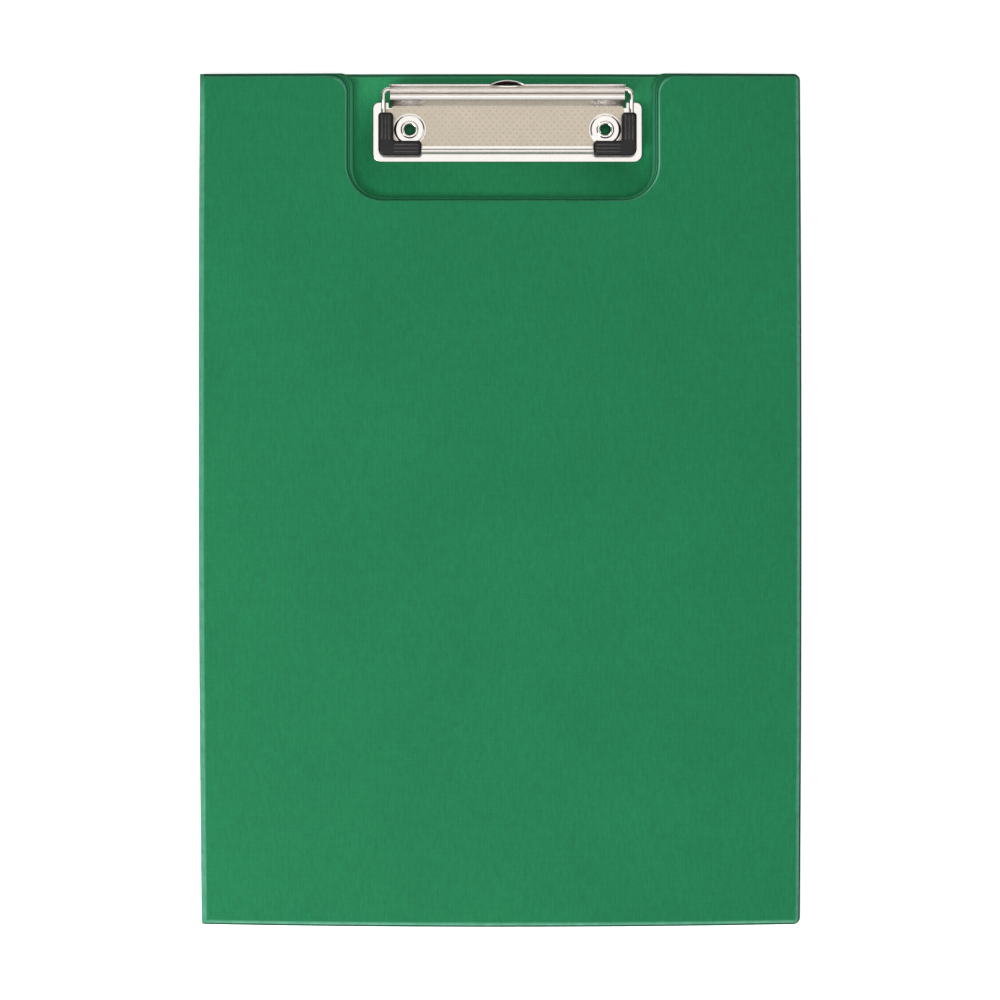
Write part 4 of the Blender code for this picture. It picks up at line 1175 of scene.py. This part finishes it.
def makeGrip(name, side):
    g = grip
    low, high = boxOf(name)
    outer = max(abs(low.x - clipX), abs(high.x - clipX))
    front = low.y
    bottom, top = low.z, high.z

    def outline(inset):
        far, wide, end = g["length"] - inset, g["width"] - inset, g["end"] - inset * 0.9
        corners = [
            (outer - inset, front + inset, g["corner"] - inset), (outer - inset, front + far, end),
            (outer - wide, front + far, end), (outer - wide, front + wide, g["inner"] + inset),
            (outer - far, front + wide, end), (outer - far, front + inset, end),
        ]
        points, used = roundedPath(corners, [0] * 6, arcSteps=8, spacing=100)
        return [(clipX + side * p.x, p.y) for p, *rest in points]

    work = bmesh.new()
    small, big = g["bottomRound"], g["topRound"]
    levels = [(small, bottom), (small * 0.3, bottom + small * 0.3), (0, bottom + small), (0, top - big)]
    turns = (0.3, 0.6, 0.9, 1.2, math.pi / 2)
    levels += [(big * (1 - math.cos(a)), top - big + big * math.sin(a)) for a in turns]
    rings = [ringOf(work, outline(inset), z) for inset, z in levels]
    loftRings(work, rings)
    fillLoops(work, [rings[0]], up=False)
    fillLoops(work, [rings[-1]], up=True)
    for k in range(g["ribs"]):
        off = g["width"] / 2 + (k - (g["ribs"] - 1) / 2) * g["ribPitch"]
        reach = g["length"] - g["ribStart"]
        upright = [(outer - off, front + reach - g["ribLength"]), (outer - off, front + reach)]
        level = [(outer - reach, front + off), (outer - reach + g["ribLength"], front + off)]
        for a, b in (upright, level):
            capsule(work, Vector((clipX + side * a[0], a[1])), Vector((clipX + side * b[0], b[1])),
                    g["ribRadius"], g["ribRise"], top)
    bmesh.ops.recalc_face_normals(work, faces=work.faces)
    newPiece(name + "_moulding", work, [gripPlastic, ribPlastic], "bail", [name],
             sharpAngle=50)


makeGrip("corner_grip_left", -1)
makeGrip("corner_grip_right", 1)
print("bail and grips made")


turned = dict(
    bore=2.0, throat=1.4, wall=0.4, rim=3.35, rimLift=0.05, flare=3.3, edge=0.1, washerEdge=0.12, steps=72,
)


def turnedPiece(name, profile, eyelet, material, node):
    # a closed (radius, height) profile turned about the eyelet's axis
    work = bmesh.new()
    rings = [ringOf(work, circlePoints(eyelet["x"], eyelet["y"], r, turned["steps"]), z) for r, z in profile]
    loftRings(work, rings + [rings[0]])
    bmesh.ops.recalc_face_normals(work, faces=work.faces)
    newPiece(name, work, material, "back", [node], sharpAngle=45)


for side, eyelet in eyelets.items():
    t = turned
    seat = plateLow.z + plate["thickness"] + plate["seatHeight"]
    foot, barrel, edge = eyelet["low"], t["bore"] + t["wall"], t["edge"]
    lip, rimFoot = (t["bore"] + t["rim"]) / 2, seat + t["rimLift"]
    profile = []
    for a in range(0, 181, 12):
        turn = math.radians(a)
        rise = (eyelet["high"] - rimFoot) * math.sin(turn)
        profile.append((lip + (t["rim"] - lip) * math.cos(turn), rimFoot + rise))
    profile += [
        (t["bore"] - edge, seat - 0.2), (t["throat"], seat - 1.2), (t["throat"], foot + 0.4),
        (barrel, foot + edge), (t["flare"], foot + 0.05), (t["flare"], foot + 0.4), (barrel, foot + 0.5),
        (barrel, seat), (t["rim"] - edge, seat + 0.01),
    ]
    turnedPiece(f"eyelet_{side}_turned", profile, eyelet, nickel, f"eyelet_{side}")
    low, high = boxOf(f"eyelet_washer_{side}")
    radius = (high.x - low.x) / 2
    ring = [
        (radius - edge, low.z), (radius, low.z + edge), (radius, high.z - t["washerEdge"]),
        (radius - t["washerEdge"], high.z), (barrelHole + edge, high.z), (barrelHole, high.z - edge),
        (barrelHole, low.z + edge), (barrelHole + edge, low.z),
    ]
    turnedPiece(f"washer_{side}_turned", ring, eyelet, washerZinc, f"eyelet_washer_{side}")
print("eyelets made")


studio = dict(
    cameraHeight=1.4, frameWidth=0.375, frameLevel=0.004, sensor=36, floorSize=6.0, floorDrop=0.00005,
    floorColour=(0.93, 0.93, 0.93, 1), floorPale=(0.95, 0.95, 0.95, 1), tableGlow=0.6,
    worldColour=(1.0, 0.985, 0.965, 1), worldStrength=0.14,
)
lamps = dict(  # place, size, watts and what it points at
    keyLeft=((-0.72, -0.40, 0.66), (0.5, 0.5), 8.4, (0, 0, 0)),
    frontSheet=((0, -1.5, 0.85), (2.6, 1.3), 10.6, (0, 0, 0)),
    fillRight=((1.3, -0.2, 1.0), (1.0, 1.0), 3.0, (0, 0, 0)),
    overhead=((0, 0.3, 2.3), (2.4, 3.0), 28.3, (0, 0.3, 0)),
)


def makeFloor():
    material, tree, shader = newMaterial("studioFloor")
    cloud = noiseOf(tree, objectPlace(tree), 3.0, 2.0)
    tone = twoTone(tree, cloud, studio["floorColour"], studio["floorPale"])
    tree.links.new(tone, shader.inputs["Base Color"])
    shader.inputs["Roughness"].default_value = 0.9
    shader.inputs["Specular IOR Level"].default_value = 0.1
    shader.inputs["Emission Color"].default_value = (1, 1, 1, 1)
    shader.inputs["Emission Strength"].default_value = studio["tableGlow"]  # a lit table shows no shadows
    work = bmesh.new()
    bmesh.ops.create_grid(work, x_segments=2, y_segments=2, size=studio["floorSize"] / 2)
    mesh = bpy.data.meshes.new("floor")
    work.to_mesh(mesh)
    work.free()
    floor = bpy.data.objects.new("floor", mesh)
    floor.location.z = -studio["floorDrop"]
    mesh.materials.append(material)
    bpy.context.scene.collection.objects.link(floor)


def makeLights():
    world = bpy.data.worlds.new("studio")
    bpy.context.scene.world = world
    world.use_nodes = True
    background = world.node_tree.nodes["Background"]
    background.inputs["Color"].default_value = studio["worldColour"]
    background.inputs["Strength"].default_value = studio["worldStrength"]
    for name, (place, size, energy, target) in lamps.items():
        light = bpy.data.lights.new(name, "AREA")
        light.shape = "RECTANGLE"
        light.size, light.size_y = size
        light.energy = energy
        lamp = bpy.data.objects.new(name, light)
        bpy.context.scene.collection.objects.link(lamp)
        lamp.location = place
        lamp.rotation_euler = (Vector(target) - Vector(place)).to_track_quat("-Z", "Y").to_euler()


def makeCamera():
    data = bpy.data.cameras.new("camera")
    data.sensor_width = studio["sensor"]
    distance = studio["cameraHeight"] - studio["frameLevel"]
    data.lens = studio["sensor"] * distance / studio["frameWidth"]
    data.clip_end = 20
    camera = bpy.data.objects.new("camera", data)
    camera.location = (0, 0, studio["cameraHeight"])
    bpy.context.scene.collection.objects.link(camera)
    bpy.context.scene.camera = camera


makeFloor()
makeLights()
makeCamera()
bpy.context.scene.view_settings.view_transform = "Standard"
bpy.context.scene.view_settings.look = "None"
print("studio made")
